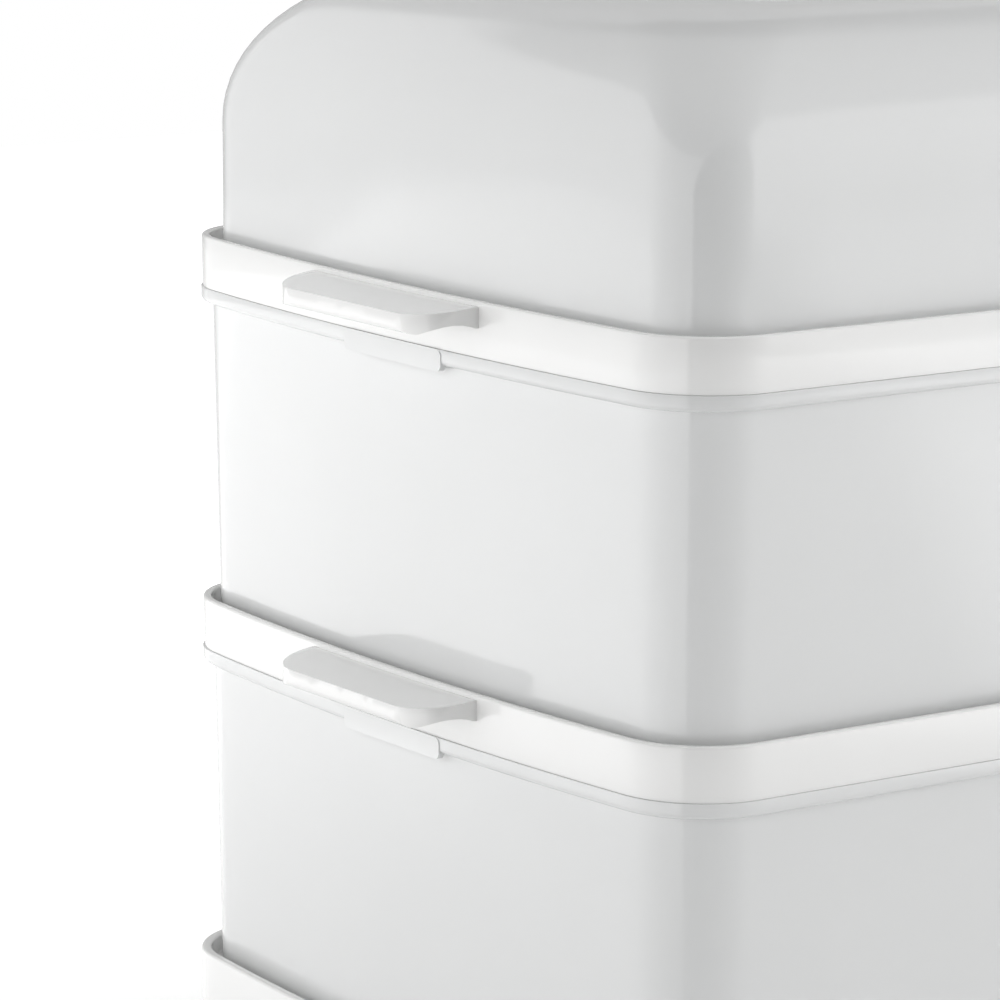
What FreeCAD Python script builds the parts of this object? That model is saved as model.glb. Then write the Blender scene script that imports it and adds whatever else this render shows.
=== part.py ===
import FreeCAD, Part
import math
import os

# Electric food steamer: a base with its water tub, heater and controls, a drip tray,
# two clear trays with white rims and loose floor grids, and a clear domed lid.
# Millimetres, +Z up, front of the controls towards -Y, handles at the -X and +X ends.

# Plan of a tray's rim, on its outer face at the top edge
rim_length = 320.0
rim_depth = 236.0
end_bow_radius = 980.0
front_bow_radius = 15000.0
rim_corner_radius = 25.0

# Heights of the stack
foot_height = 3.0
base_top = 105.0
tier_pitch = 100.0

# White rim of a tray
band_height = 14.1
band_draft = 0.3
band_wall = 2.2
seat_depth = 5.0
seat_thickness = 2.0
seat_inset = 8.5

# Handle plate on each end of a rim
plate_width = 75.0
plate_reach = 15.5
plate_corner = 14.0
plate_drop = 1.2
plate_slope = 0.12
plate_root = 5.4
plate_neck = 3.7
plate_lip = 5.0
plate_lip_round = 2.0
plate_neck_share = 0.32

# Clear bowl of a tray
bowl_wall = 2.0
bowl_top_inset = 3.05
bowl_foot_inset = 4.9
flange_height = 4.2
flange_proud = 0.45
flange_round = 1.9
joint_gap = 0.1
lip_inset = 14.0
lip_thickness = 2.0
lip_above_rim = 0.0
tab_width = 40.0
tab_drop = 2.7
tab_thickness = 1.8

# Loose floor grid of a tray
grid_thickness = 2.0
grid_inset = 9.3
hole_diameter = 5.0
hole_spacing = 8.0
cluster_columns = 5
cluster_rows = 3
cluster_pitch_x = 52.0
cluster_pitch_y = 56.0
slot_length = 18.0
slot_width = 3.2
slot_pitch = 13.0
grid_rib_height = 1.2
grid_rib_width = 1.6
petal_radius = 24.0
slot_end_radius = 1.4

# Lid
lid_wall = 2.0
lid_inset = 5.8
lid_foot_width = 2.6
lid_straight = 31.0
lid_shoulder = 43.0
lid_corner_growth = 0.45
dish_depth = 8.0
dish_inset = 66.0
dish_floor_inset = 80.0
dish_corner = 30.0
vent_diameter = 3.6
vent_spacing = 12.0

# Lid handle
knob_length = 92.0
knob_width = 44.0
knob_height = 25.0
knob_waist = 5.0
knob_corner = 17.0
lid_screw_spacing = 56.0

# Housing of the base
housing_proud = 0.9
housing_wall = 2.8
housing_round = 8.0
base_seat_inset = 9.0
bottom_opening_inset = 14.0

# Bottom cover, feet and screws
cover_thickness = 2.0
cover_inset = 10.0
foot_diameter = 18.0
foot_spigot = 8.0
foot_round = 0.8
foot_spacing_x = 236.0
foot_spacing_y = 150.0
boss_diameter = 9.0
boss_height = 15.0
boss_inset = 8.0
boss_spacing_x = 220.0
screw_shank = 3.0
screw_head = 6.0
screw_head_height = 1.6
screw_length = 12.0
screw_clearance = 0.1
screw_end_gap = 0.5

# Water tub
tub_end_inset = 24.0
tub_front_inset = 50.0
tub_back_inset = 18.0
tub_corner = 20.0
tub_wall = 2.2
tub_floor_top = 45.0
tub_floor = 2.5
deck_thickness = 2.5
deck_gap = 0.4
post_y = 60.0
post_diameter = 8.0
screw_seat_gap = 1.0

# Drip tray
drip_gap = 2.0
drip_depth = 14.0
drip_wall = 1.8
drip_flange = 5.0
chimney_diameter = 24.0
chimney_pitch_x = 80.0
chimney_pitch_y = 80.0
chimney_top_gap = 1.0

# Heater and steam collar
collar_diameter = 100.0
collar_wall = 2.0
collar_height = 35.0
notch_half_width = 4.0
notch_height = 4.0
heater_bore = 66.0
seal_thickness = 1.5
seal_outer = 82.0
hotplate_diameter = 80.0
hotplate_thickness = 1.5
block_diameter = 56.0
block_height = 12.5
element_ring_radius = 20.0
element_tube = 6.5
element_gap = 0.05
element_leg = 7.0
pin_diameter = 2.4
pin_length = 5.0
clamp_outer = 88.0
clamp_inner = 62.0
clamp_thickness = 2.0
stud_circle = 73.0
stud_diameter = 4.0
stud_gap = 0.1
stud_end = 1.5
nut_width = 7.0
nut_height = 3.2
thermostat_diameter = 15.0
thermostat_height = 9.0
tongue_spacing = 8.0
tongue_width = 4.0
tongue_length = 4.0
tongue_thickness = 0.8
fuse_diameter = 4.0
fuse_length = 14.0
fuse_gap = 0.3
element_arc = 300.0

# Control panel, timer and buttons
panel_half_width = 80.0
panel_low = 30.0
panel_high = 90.0
panel_corner = 8.0
panel_thickness = 2.0
panel_pocket = 1.2
panel_fit = 0.2
window_margin = 6.0
hook_thickness = 1.8
hook_half_height = 6.0
hook_reach = 1.2
timer_x = -30.0
control_z = 59.0
timer_width = 46.0
timer_tall = 44.0
timer_depth = 36.0
timer_corner = 3.0
timer_screw_offset = 15.0
timer_screw_length = 10.0
timer_screw_head = 0.5
shaft_diameter = 6.0
shaft_play = 0.05
shaft_in_timer = 17.0
shaft_end_gap = 0.3
shaft_in_knob = 16.0
shaft_fit = 0.02
panel_shaft_hole = 8.0
timer_knob_diameter = 46.0
timer_knob_height = 20.0
timer_knob_gap = 0.6
grip_width = 9.0
grip_depth = 8.0
knob_skirt_height = 5.0
knob_skirt_wall = 3.0
knob_recess = 1.0
knob_hub = 12.0
knob_crown_inset = 2.0
knob_crown_taper = 2.0
knob_round = 1.5
button_first_x = 28.0
button_pitch = 28.0
button_diameter = 14.0
button_play = 0.05
button_proud = 3.0
button_travel = 1.5
button_collar = 17.0
button_collar_thickness = 1.5
button_round = 1.0
button_stem = 5.0
button_stem_length = 6.5
button_rest_gap = 0.3
switch_size = 6.0
switch_depth = 4.5
board_thickness = 1.6
board_low = 42.0
board_high = 84.0
board_margin = 12.0
board_post = 6.0
board_post_inset_x = 3.0
board_post_inset_z = 5.0
board_screw_depth = 6.0
lamp_diameter = 6.0
lamp_rise = 19.0
led_diameter = 4.8
led_length = 6.5
lens_proud = 0.8
lens_flange = 9.0
lens_flange_thickness = 1.2
lens_play = 0.1

# Filler, gauge, cord inlet and wiring
filler_half_width = 30.0
filler_low = 50.0
filler_high = 84.0
filler_reach = 13.5
filler_wall = 2.0
filler_corner = 6.0
filler_mouth_gap = 0.6
insert_gap = 0.15
gauge_y = -56.0
gauge_width = 12.0
gauge_low = 48.0
gauge_high = 84.0
gauge_wall = 2.0
gauge_proud = 0.5
gauge_hollow_end = 7.0
gland_x = -90.0
gland_z = 25.0
gland_diameter = 14.0
gland_flange = 20.0
gland_flange_thickness = 2.5
gland_bore = 7.4
gland_nut = 4.0
gland_tail = 2.0
block_length = 32.0
block_width = 18.0
block_tall = 14.0
block_from_back = 30.0
block_offset = 50.0
terminal_bore = 4.0
terminal_inset = 5.0
terminal_floor = 4.0
wire_height = 7.0
timer_wire_inset = 8.0
timer_wire_rise = 24.0
live_wire_offset = 12.0
switched_wire_offset = 10.0
live_run_out = 30.0
neutral_run_out = 20.0
switched_run_in = 30.0
pin_run_in = 50.0
pin_side_step = 4.0
wire_diameter = 2.0

# How far the cutting shapes reach past what they cut
over = 1.0

# Levels and faces worked out from the sizes above
half_length = rim_length / 2.0
half_depth = rim_depth / 2.0
lower_rim_top = base_top + tier_pitch
upper_rim_top = lower_rim_top + tier_pitch
housing_bottom = foot_height + cover_thickness
base_seat_top = base_top - seat_depth
deck_top = base_seat_top - seat_thickness
housing_inner = housing_proud - housing_wall
front_face = -half_depth - housing_proud
wall_inside_y = front_face + housing_wall
panel_back = front_face + panel_pocket
panel_front = panel_back - panel_thickness
tub_half_length = half_length - tub_end_inset
tub_front = -half_depth + tub_front_inset
tub_back = half_depth - tub_back_inset
tub_middle_y = (tub_front + tub_back) / 2.0
lid_foot_z = upper_rim_top - seat_depth
lid_top_z = upper_rim_top + lid_straight + lid_shoulder
dish_floor_z = lid_top_z - dish_depth
post_sag = end_bow_radius - math.sqrt(end_bow_radius ** 2 - post_y ** 2)
post_x = half_length - post_sag - base_seat_inset - screw_head / 2.0 - screw_seat_gap

shapes = {}


def vec(x, y, z):
    return FreeCAD.Vector(x, y, z)


def arc(a, b, c):
    return Part.Arc(a, b, c).toShape()


def line(a, b):
    return Part.makeLine(a, b)


def outline(offset, z, corner=None):
    """Rim outline moved outwards by offset: bowed ends, nearly flat sides, round corners."""
    r_end = end_bow_radius + offset
    r_side = front_bow_radius + offset
    r_corner = rim_corner_radius + offset if corner is None else corner
    end_x = half_length - end_bow_radius
    side_y = half_depth - front_bow_radius
    # The corner's centre lies where circles about the two bow centres cross
    ra = r_end - r_corner
    rb = r_side - r_corner
    gap = math.hypot(end_x, side_y)
    along = (ra * ra - rb * rb + gap * gap) / (2.0 * gap)
    height = math.sqrt(ra * ra - along * along)
    ux = -end_x / gap
    uy = side_y / gap
    cx = end_x + along * ux - height * uy
    cy = along * uy + height * ux
    ex = (cx - end_x) / ra
    ey = cy / ra
    sx = cx / rb
    sy = (cy - side_y) / rb
    mid = math.hypot(ex + sx, ey + sy)
    end_point = (end_x + r_end * ex, r_end * ey)
    corner_point = (cx + r_corner * (ex + sx) / mid, cy + r_corner * (ey + sy) / mid)
    side_point = (r_side * sx, side_y + r_side * sy)
    end_mid = (half_length + offset, 0.0)
    side_mid = (0.0, half_depth + offset)

    def at(point, x_sign, y_sign):
        return vec(point[0] * x_sign, point[1] * y_sign, z)

    edges = [
        arc(at(end_point, 1, -1), at(end_mid, 1, 1), at(end_point, 1, 1)),
        arc(at(end_point, 1, 1), at(corner_point, 1, 1), at(side_point, 1, 1)),
        arc(at(side_point, 1, 1), at(side_mid, 1, 1), at(side_point, -1, 1)),
        arc(at(side_point, -1, 1), at(corner_point, -1, 1), at(end_point, -1, 1)),
        arc(at(end_point, -1, 1), at(end_mid, -1, 1), at(end_point, -1, -1)),
        arc(at(end_point, -1, -1), at(corner_point, -1, -1), at(side_point, -1, -1)),
        arc(at(side_point, -1, -1), at(side_mid, 1, -1), at(side_point, 1, -1)),
        arc(at(side_point, 1, -1), at(corner_point, 1, -1), at(end_point, 1, -1)),
    ]
    return Part.Wire(edges)


def side_sag(x):
    """How far the front and back faces have fallen away from their middle at x."""
    return front_bow_radius - math.sqrt(front_bow_radius ** 2 - x ** 2)


def slab(offset, low, high, corner=None):
    face = Part.Face(outline(offset, low, corner))
    return face.extrude(vec(0, 0, high - low))


def tapered(low_offset, low, high_offset, high):
    return Part.makeLoft([outline(low_offset, low), outline(high_offset, high)], True, True)


def rounded_wire(a0, a1, b0, b1, radius, place):
    """Rectangle with round corners; place turns the two plan values into a point."""
    k = radius * (1.0 - math.sqrt(0.5))
    return Part.Wire([
        line(place(a0 + radius, b0), place(a1 - radius, b0)),
        arc(place(a1 - radius, b0), place(a1 - k, b0 + k), place(a1, b0 + radius)),
        line(place(a1, b0 + radius), place(a1, b1 - radius)),
        arc(place(a1, b1 - radius), place(a1 - k, b1 - k), place(a1 - radius, b1)),
        line(place(a1 - radius, b1), place(a0 + radius, b1)),
        arc(place(a0 + radius, b1), place(a0 + k, b1 - k), place(a0, b1 - radius)),
        line(place(a0, b1 - radius), place(a0, b0 + radius)),
        arc(place(a0, b0 + radius), place(a0 + k, b0 + k), place(a0 + radius, b0)),
    ])


def flat_block(x0, x1, y0, y1, z0, z1, radius):
    wire = rounded_wire(x0, x1, y0, y1, radius, lambda x, y: vec(x, y, z0))
    return Part.Face(wire).extrude(vec(0, 0, z1 - z0))


def front_block(x0, x1, z0, z1, y0, y1, radius):
    wire = rounded_wire(x0, x1, z0, z1, radius, lambda x, z: vec(x, y0, z))
    return Part.Face(wire).extrude(vec(0, y1 - y0, 0))


def end_block(y0, y1, z0, z1, x0, x1, radius):
    wire = rounded_wire(y0, y1, z0, z1, radius, lambda y, z: vec(x0, y, z))
    return Part.Face(wire).extrude(vec(x1 - x0, 0, 0))


def box(x0, x1, y0, y1, z0, z1):
    return Part.makeBox(x1 - x0, y1 - y0, z1 - z0, vec(x0, y0, z0))


def rod_z(x, y, z0, z1, diameter):
    return Part.makeCylinder(diameter / 2.0, z1 - z0, vec(x, y, z0), vec(0, 0, 1))


def rod_y(x, z, y0, y1, diameter):
    return Part.makeCylinder(diameter / 2.0, y1 - y0, vec(x, y0, z), vec(0, 1, 0))


def rod_x(y, z, x0, x1, diameter):
    return Part.makeCylinder(diameter / 2.0, x1 - x0, vec(x0, y, z), vec(1, 0, 0))


def level_edges(shape, z):
    """Edges of a shape that lie flat at one height."""
    found = []
    for edge in shape.Edges:
        if all(abs(v.Point.z - z) < 0.01 for v in edge.Vertexes):
            found.append(edge)
    return found


def mirrored_x(shape):
    return shape.mirror(vec(0, 0, 0), vec(1, 0, 0))


def keep(name, solids):
    group = solids if isinstance(solids, list) else [solids]
    shapes[name] = Part.makeCompound(group) if len(group) > 1 else group[0]


def screw_up(x, y, head_top):
    """Screw driven upwards: its head ends at head_top and its shank goes on above."""
    head = rod_z(x, y, head_top - screw_head_height, head_top, screw_head)
    shank = rod_z(x, y, head_top, head_top + screw_length, screw_shank)
    return head.fuse(shank)


def screw_down(x, y, seat):
    head = rod_z(x, y, seat, seat + screw_head_height, screw_head)
    shank = rod_z(x, y, seat - screw_length, seat, screw_shank)
    return head.fuse(shank)


def tube_path(points, diameter):
    """Round tube along straight runs joined by tangent arcs."""
    radius_share = 0.45
    edges = []
    start = points[0]
    for before, corner, after in zip(points, points[1:], points[2:]):
        run_in = (corner - before).Length
        run_out = (after - corner).Length
        into = (corner - before).normalize()
        away = (after - corner).normalize()
        cut = radius_share * min(run_in, run_out)
        a = corner - into * cut
        c = corner + away * cut
        half_turn = into.getAngle(away) / 2.0
        to_centre = (away - into).normalize()
        radius = cut / math.tan(half_turn)
        centre = corner + to_centre * (radius / math.cos(half_turn))
        b = centre - to_centre * radius
        edges.append(line(start, a))
        edges.append(arc(a, b, c))
        start = c
    edges.append(line(start, points[-1]))
    spine = Part.Wire(edges)
    ring = Part.makeCircle(diameter / 2.0, points[0], points[1] - points[0])
    return spine.makePipeShell([Part.Wire([ring])], True, False)


def handle_plate(rim_top):
    """Plate that stands out of the +X end, drooping slightly, with a hollow underneath."""
    face_x = half_length
    top_root = rim_top - plate_drop
    top_tip = top_root - plate_slope * plate_reach
    inside = face_x - band_wall / 2.0
    neck_x = face_x + plate_neck_share * plate_reach
    neck_z = top_root - plate_slope * (neck_x - face_x) - plate_neck
    lip_x = face_x + plate_reach - plate_lip_round
    lip_z = top_tip - plate_lip
    root_z = top_root - plate_root
    tip_x = face_x + plate_reach
    half = plate_width / 2.0
    bend = plate_lip_round * (1.0 - math.sqrt(0.5))

    def at(x, z):
        return vec(x, -half, z)

    edges = [
        line(at(inside, top_root), at(face_x, top_root)),
        line(at(face_x, top_root), at(tip_x, top_tip)),
        line(at(tip_x, top_tip), at(tip_x, lip_z + plate_lip_round)),
        arc(at(tip_x, lip_z + plate_lip_round), at(tip_x - bend, lip_z + bend), at(lip_x, lip_z)),
        arc(at(lip_x, lip_z), at(neck_x, neck_z), at(face_x, root_z)),
        line(at(face_x, root_z), at(inside, root_z)),
        line(at(inside, root_z), at(inside, top_root)),
    ]
    bar = Part.Face(Part.Wire(edges)).extrude(vec(0, plate_width, 0))
    plan = flat_block(face_x - 4.0 * plate_corner, tip_x, -half, half,
                      rim_top - band_height, rim_top, plate_corner)
    return bar.common(plan)


def make_rim(rim_top):
    bottom = rim_top - band_height
    seat_top = rim_top - seat_depth
    seat_bottom = seat_top - seat_thickness
    ring = tapered(-band_draft, bottom, 0.0, rim_top)
    ring = ring.cut(slab(-band_wall, bottom - over, seat_bottom))
    ring = ring.cut(slab(-band_wall, seat_top, rim_top + over))
    ring = ring.cut(slab(-seat_inset, seat_bottom - over, seat_top + over))
    plate = handle_plate(rim_top)
    return ring.fuse([plate, mirrored_x(plate)])


def make_bowl(rim_top):
    band_bottom = rim_top - band_height
    flange_top = band_bottom - joint_gap
    flange_bottom = flange_top - flange_height
    upstand_top = rim_top - seat_depth - seat_thickness - joint_gap
    foot = rim_top - tier_pitch - seat_depth
    lip_top = rim_top - tier_pitch + lip_above_rim
    slope = (bowl_foot_inset - bowl_top_inset) / (flange_bottom - foot)
    inner_top_inset = bowl_top_inset + bowl_wall - slope * (upstand_top - flange_bottom)
    flange = slab(flange_proud - band_draft, flange_bottom, flange_top)
    flange = flange.makeFillet(flange_round, level_edges(flange, flange_bottom))
    wall = tapered(-bowl_foot_inset, foot, -bowl_top_inset, flange_bottom)
    upstand = slab(-band_wall - joint_gap, flange_top, upstand_top)
    body = wall.fuse([flange, upstand])
    hollow = tapered(-bowl_foot_inset - bowl_wall, foot, -inner_top_inset, upstand_top)
    body = body.cut(hollow)
    lip = slab(-bowl_foot_inset - bowl_wall / 2.0, lip_top - lip_thickness, lip_top)
    lip = lip.cut(slab(-lip_inset, lip_top - lip_thickness, lip_top))
    tab_face = half_length - band_draft + flange_proud
    tab = end_block(-tab_width / 2.0, tab_width / 2.0, flange_bottom - tab_drop, flange_top,
                    tab_face - tab_thickness, tab_face, flange_round)
    return body.fuse([lip, tab, mirrored_x(tab)])


def cluster_places():
    """Centres of the clusters of round holes."""
    places = []
    for i in range(cluster_columns):
        for j in range(cluster_rows):
            x = (i - (cluster_columns - 1) / 2.0) * cluster_pitch_x
            y = (j - (cluster_rows - 1) / 2.0) * cluster_pitch_y
            places.append((x, y))
    return places


def make_grid(rim_top):
    low = rim_top - tier_pitch + lip_above_rim
    high = low + grid_thickness
    wires = [outline(-grid_inset, low)]
    for x, y in cluster_places():
        wires.append(Part.Wire([Part.makeCircle(hole_diameter / 2.0, vec(x, y, low))]))
        for k in range(6):
            angle = math.radians(60.0 * k)
            at = vec(x + hole_spacing * math.cos(angle), y + hole_spacing * math.sin(angle), low)
            wires.append(Part.Wire([Part.makeCircle(hole_diameter / 2.0, at)]))
    half = slot_length / 2.0
    for i in range(cluster_columns - 1):
        x = (i - (cluster_columns - 2) / 2.0) * cluster_pitch_x
        for j in range(cluster_rows):
            y = (j - (cluster_rows - 1) / 2.0) * cluster_pitch_y
            for side in (-1, 1):
                sx = x + side * slot_pitch / 2.0
                wires.append(rounded_wire(sx - slot_width / 2.0, sx + slot_width / 2.0,
                                          y - half, y + half, slot_end_radius,
                                          lambda a, b: vec(a, b, low)))
    plate = Part.Face(wires, "Part::FaceMakerBullseye").extrude(vec(0, 0, grid_thickness))
    ribs = []
    for x, y in cluster_places():
        outer = rod_z(x, y, high, high + grid_rib_height, 2.0 * petal_radius)
        inner = rod_z(x, y, high, high + grid_rib_height, 2.0 * (petal_radius - grid_rib_width))
        petal = outer.cut(inner)
        gate = box(x - petal_radius, x + petal_radius, y - half, y + half, high,
                   high + grid_rib_height)
        petal = petal.cut(gate)
        for solid in petal.Solids:
            ribs.append(solid)
    inside = slab(-grid_inset - grid_rib_width, high, high + grid_rib_height)
    crowns = []
    for rib in ribs:
        for solid in rib.common(inside).Solids:
            crowns.append(solid)
    return plate.fuse(crowns)


def dome(inset, foot, top, shoulder, dish_grow):
    """Solid under a lid surface: straight skirt, round shoulder, flat top with a dish."""
    straight_top = top - shoulder
    corner0 = rim_corner_radius - inset
    skirt = Part.Face(outline(-inset, foot, corner0)).extrude(vec(0, 0, straight_top - foot))
    steps = 6
    wires = []
    for i in range(steps + 1):
        angle = math.radians(90.0 * i / steps)
        in_by = shoulder * (1.0 - math.cos(angle))
        corner = corner0 + lid_corner_growth * in_by
        wires.append(outline(-inset - in_by, straight_top + shoulder * math.sin(angle), corner))
    crown = Part.makeLoft(wires, True, False)
    dish = Part.makeLoft([
        outline(-dish_floor_inset + dish_grow, top - dish_depth, dish_corner * 0.8),
        outline(-dish_inset + dish_grow, top, dish_corner),
    ], True, True)
    return skirt.fuse(crown).cut(dish)


def make_lid():
    outer = dome(lid_inset, lid_foot_z, lid_top_z, lid_shoulder, 0.0)
    inner = dome(lid_inset + lid_wall, lid_foot_z, lid_top_z - lid_wall,
                 lid_shoulder - lid_wall, lid_wall)
    shell = outer.cut(inner)
    foot = slab(-lid_inset + lid_foot_width, lid_foot_z, lid_foot_z + seat_thickness)
    foot = foot.cut(slab(-lid_inset - lid_wall / 2.0, lid_foot_z, lid_foot_z + seat_thickness))
    shell = shell.fuse(foot)
    vent_x = half_length - dish_inset + (dish_inset - lid_inset - lid_shoulder) / 2.0
    low = lid_top_z - 2.0 * lid_wall
    for side in (-1, 1):
        for row in (-1, 0, 1):
            at = (side * vent_x, row * vent_spacing)
            shell = shell.cut(rod_z(at[0], at[1], low, lid_top_z + over, vent_diameter))
        hole = rod_z(side * lid_screw_spacing / 2.0, 0, dish_floor_z - lid_wall - over,
                     dish_floor_z + over, screw_shank + 2.0 * screw_clearance)
        shell = shell.cut(hole)
    return shell


def knob_wire(inset, z):
    a = knob_length / 2.0 - inset
    b = knob_width / 2.0 - inset
    return rounded_wire(-a, a, -b, b, knob_corner - inset, lambda x, y: vec(x, y, z))


def make_lid_handle():
    levels = [
        (0.0, 0.0), (1.6, 0.12), (knob_waist, 0.45), (2.2, 0.78),
        (0.6, 0.90), (1.0, 0.96), (3.4, 1.0),
    ]
    wires = []
    for inset, share in levels:
        wires.append(knob_wire(inset, dish_floor_z + share * knob_height))
    handle = Part.makeLoft(wires, True, True)
    for side in (-1, 1):
        handle = handle.cut(rod_z(side * lid_screw_spacing / 2.0, 0, dish_floor_z - over,
                                  dish_floor_z + screw_length, screw_shank + 2.0 * screw_clearance))
    return handle


def make_lid_screws():
    under = dish_floor_z - lid_wall
    screws = []
    for side in (-1, 1):
        screws.append(screw_up(side * lid_screw_spacing / 2.0, 0, under))
    return screws


def boss_places():
    y = half_depth - boss_inset
    x = boss_spacing_x / 2.0
    end = half_length - boss_inset
    return [(-x, -y), (x, -y), (-x, y), (x, y), (-end, 0.0), (end, 0.0)]


def post_places():
    places = []
    for x_sign in (-1, 1):
        for y_sign in (-1, 1):
            places.append((x_sign * post_x, y_sign * post_y))
    return places


def gauge_body(grow):
    half = gauge_width / 2.0 + grow
    return box(tub_half_length + tub_wall, half_length + 5.0, gauge_y - half, gauge_y + half,
               gauge_low - grow, gauge_high + grow)


def filler_body(grow):
    half = filler_half_width + grow
    return end_block(-half, half, filler_low - grow, filler_high + grow,
                     tub_half_length + tub_wall, half_length + housing_proud + filler_reach,
                     filler_corner)


def make_housing():
    flange_top = housing_bottom + housing_wall
    shell = slab(housing_proud, housing_bottom, base_top)
    shell = shell.makeFillet(housing_round, level_edges(shell, housing_bottom))
    cavity = slab(housing_inner, flange_top, deck_top)
    cavity = cavity.makeFillet(housing_round - housing_wall, level_edges(cavity, flange_top))
    shell = shell.cut(cavity)
    shell = shell.cut(slab(housing_inner, base_seat_top, base_top + over))
    shell = shell.cut(slab(-base_seat_inset, deck_top - over, base_seat_top + over))
    shell = shell.cut(slab(-bottom_opening_inset, housing_bottom - over, flange_top + over))
    pillars = []
    for x, y in boss_places():
        pillars.append(rod_z(x, y, housing_bottom, flange_top + boss_height, boss_diameter))
    for x, y in post_places():
        pillars.append(rod_z(x, y, housing_bottom, deck_top - deck_thickness, post_diameter))
    trim = slab(housing_inner, housing_bottom, base_top)
    shell = shell.fuse([pillar.common(trim) for pillar in pillars])
    hole = screw_shank + 2.0 * screw_clearance
    for x, y in boss_places():
        shell = shell.cut(rod_z(x, y, housing_bottom - over, housing_bottom + screw_length, hole))
    for x, y in post_places():
        seat = deck_top - deck_thickness
        shell = shell.cut(rod_z(x, y, seat - screw_length, seat + over, hole))
    fit = panel_fit
    shell = shell.cut(front_block(-panel_half_width - fit, panel_half_width + fit,
                                  panel_low - fit, panel_high + fit,
                                  front_face - 5.0, panel_back, panel_corner))
    m = window_margin
    shell = shell.cut(front_block(-panel_half_width + m, panel_half_width - m,
                                  panel_low + m, panel_high - m,
                                  panel_back - over, wall_inside_y + over, panel_corner - m / 2.0))
    shell = shell.cut(gauge_body(insert_gap))
    shell = shell.cut(filler_body(insert_gap))
    shell = shell.cut(rod_y(gland_x, gland_z, half_depth - 20.0, half_depth + 5.0,
                            gland_diameter + 2.0 * insert_gap))
    return shell


def make_bottom_cover():
    cover = slab(-cover_inset, foot_height, housing_bottom)
    hole = screw_shank + 2.0 * screw_clearance
    for x, y in boss_places():
        cover = cover.cut(rod_z(x, y, foot_height - over, housing_bottom + over, hole))
    for x, y in foot_places():
        cover = cover.cut(rod_z(x, y, foot_height - over, housing_bottom + over, foot_spigot))
    return cover


def foot_places():
    places = []
    for x_sign in (-1, 1):
        for y_sign in (-1, 1):
            places.append((x_sign * foot_spacing_x / 2.0, y_sign * foot_spacing_y / 2.0))
    return places


def make_feet():
    feet = []
    for x, y in foot_places():
        pad = rod_z(x, y, 0.0, foot_height, foot_diameter)
        pad = pad.makeFillet(foot_round, level_edges(pad, 0.0))
        feet.append(pad.fuse(rod_z(x, y, foot_height, housing_bottom, foot_spigot)))
    return feet


def make_cover_screws():
    screws = []
    for x, y in boss_places():
        screws.append(screw_up(x, y, foot_height))
    return screws


def stud_places():
    places = []
    for k in range(3):
        angle = math.radians(90.0 + 120.0 * k)
        places.append((stud_circle / 2.0 * math.cos(angle),
                       tub_middle_y + stud_circle / 2.0 * math.sin(angle)))
    return places


def make_tub():
    floor_bottom = tub_floor_top - tub_floor
    deck_bottom = deck_top - deck_thickness
    deck = slab(housing_inner - deck_gap, deck_bottom, deck_top)
    bucket = flat_block(-tub_half_length - tub_wall, tub_half_length + tub_wall,
                        tub_front - tub_wall, tub_back + tub_wall,
                        floor_bottom, deck_bottom, tub_corner + tub_wall)
    hollow = flat_block(-tub_half_length, tub_half_length, tub_front, tub_back,
                        tub_floor_top, deck_top + over, tub_corner)
    tub = deck.fuse(bucket).cut(hollow)
    tub = tub.cut(rod_z(0, tub_middle_y, floor_bottom - over, tub_floor_top + over, heater_bore))
    for x, y in stud_places():
        tub = tub.cut(rod_z(x, y, floor_bottom - over, tub_floor_top + over,
                            stud_diameter + 2.0 * stud_gap))
    hole = screw_shank + 2.0 * screw_clearance
    for x, y in post_places():
        tub = tub.cut(rod_z(x, y, deck_bottom - over, deck_top + over, hole))
    wall0 = tub_half_length - over
    wall1 = tub_half_length + tub_wall + over
    mouth = filler_half_width - filler_wall
    tub = tub.cut(box(wall0, wall1, -mouth, mouth, filler_low + filler_wall,
                      filler_high - filler_wall))
    slit = gauge_width / 2.0 - gauge_wall
    tub = tub.cut(box(wall0, wall1, gauge_y - slit, gauge_y + slit, gauge_low + gauge_wall,
                      gauge_high - gauge_wall))
    return tub


def make_tub_screws():
    screws = []
    for x, y in post_places():
        screws.append(screw_down(x, y, deck_top))
    return screws


def make_filler():
    body = filler_body(0.0)
    half = filler_half_width - filler_wall
    reach = half_length + housing_proud + filler_reach
    hollow = box(tub_half_length, reach - filler_wall, -half, half,
                 filler_low + filler_wall, filler_high - filler_wall)
    mouth = box(half_length + housing_proud + filler_mouth_gap, reach - filler_wall, -half, half,
                filler_high - filler_wall - over, filler_high + over)
    return body.cut(hollow).cut(mouth)


def make_gauge():
    body = gauge_body(0.0).common(slab(housing_proud + gauge_proud, gauge_low, gauge_high))
    half = gauge_width / 2.0 - gauge_wall
    hollow = box(tub_half_length, half_length - gauge_hollow_end, gauge_y - half,
                 gauge_y + half, gauge_low + gauge_wall, gauge_high - gauge_wall)
    return body.cut(hollow)


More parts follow.
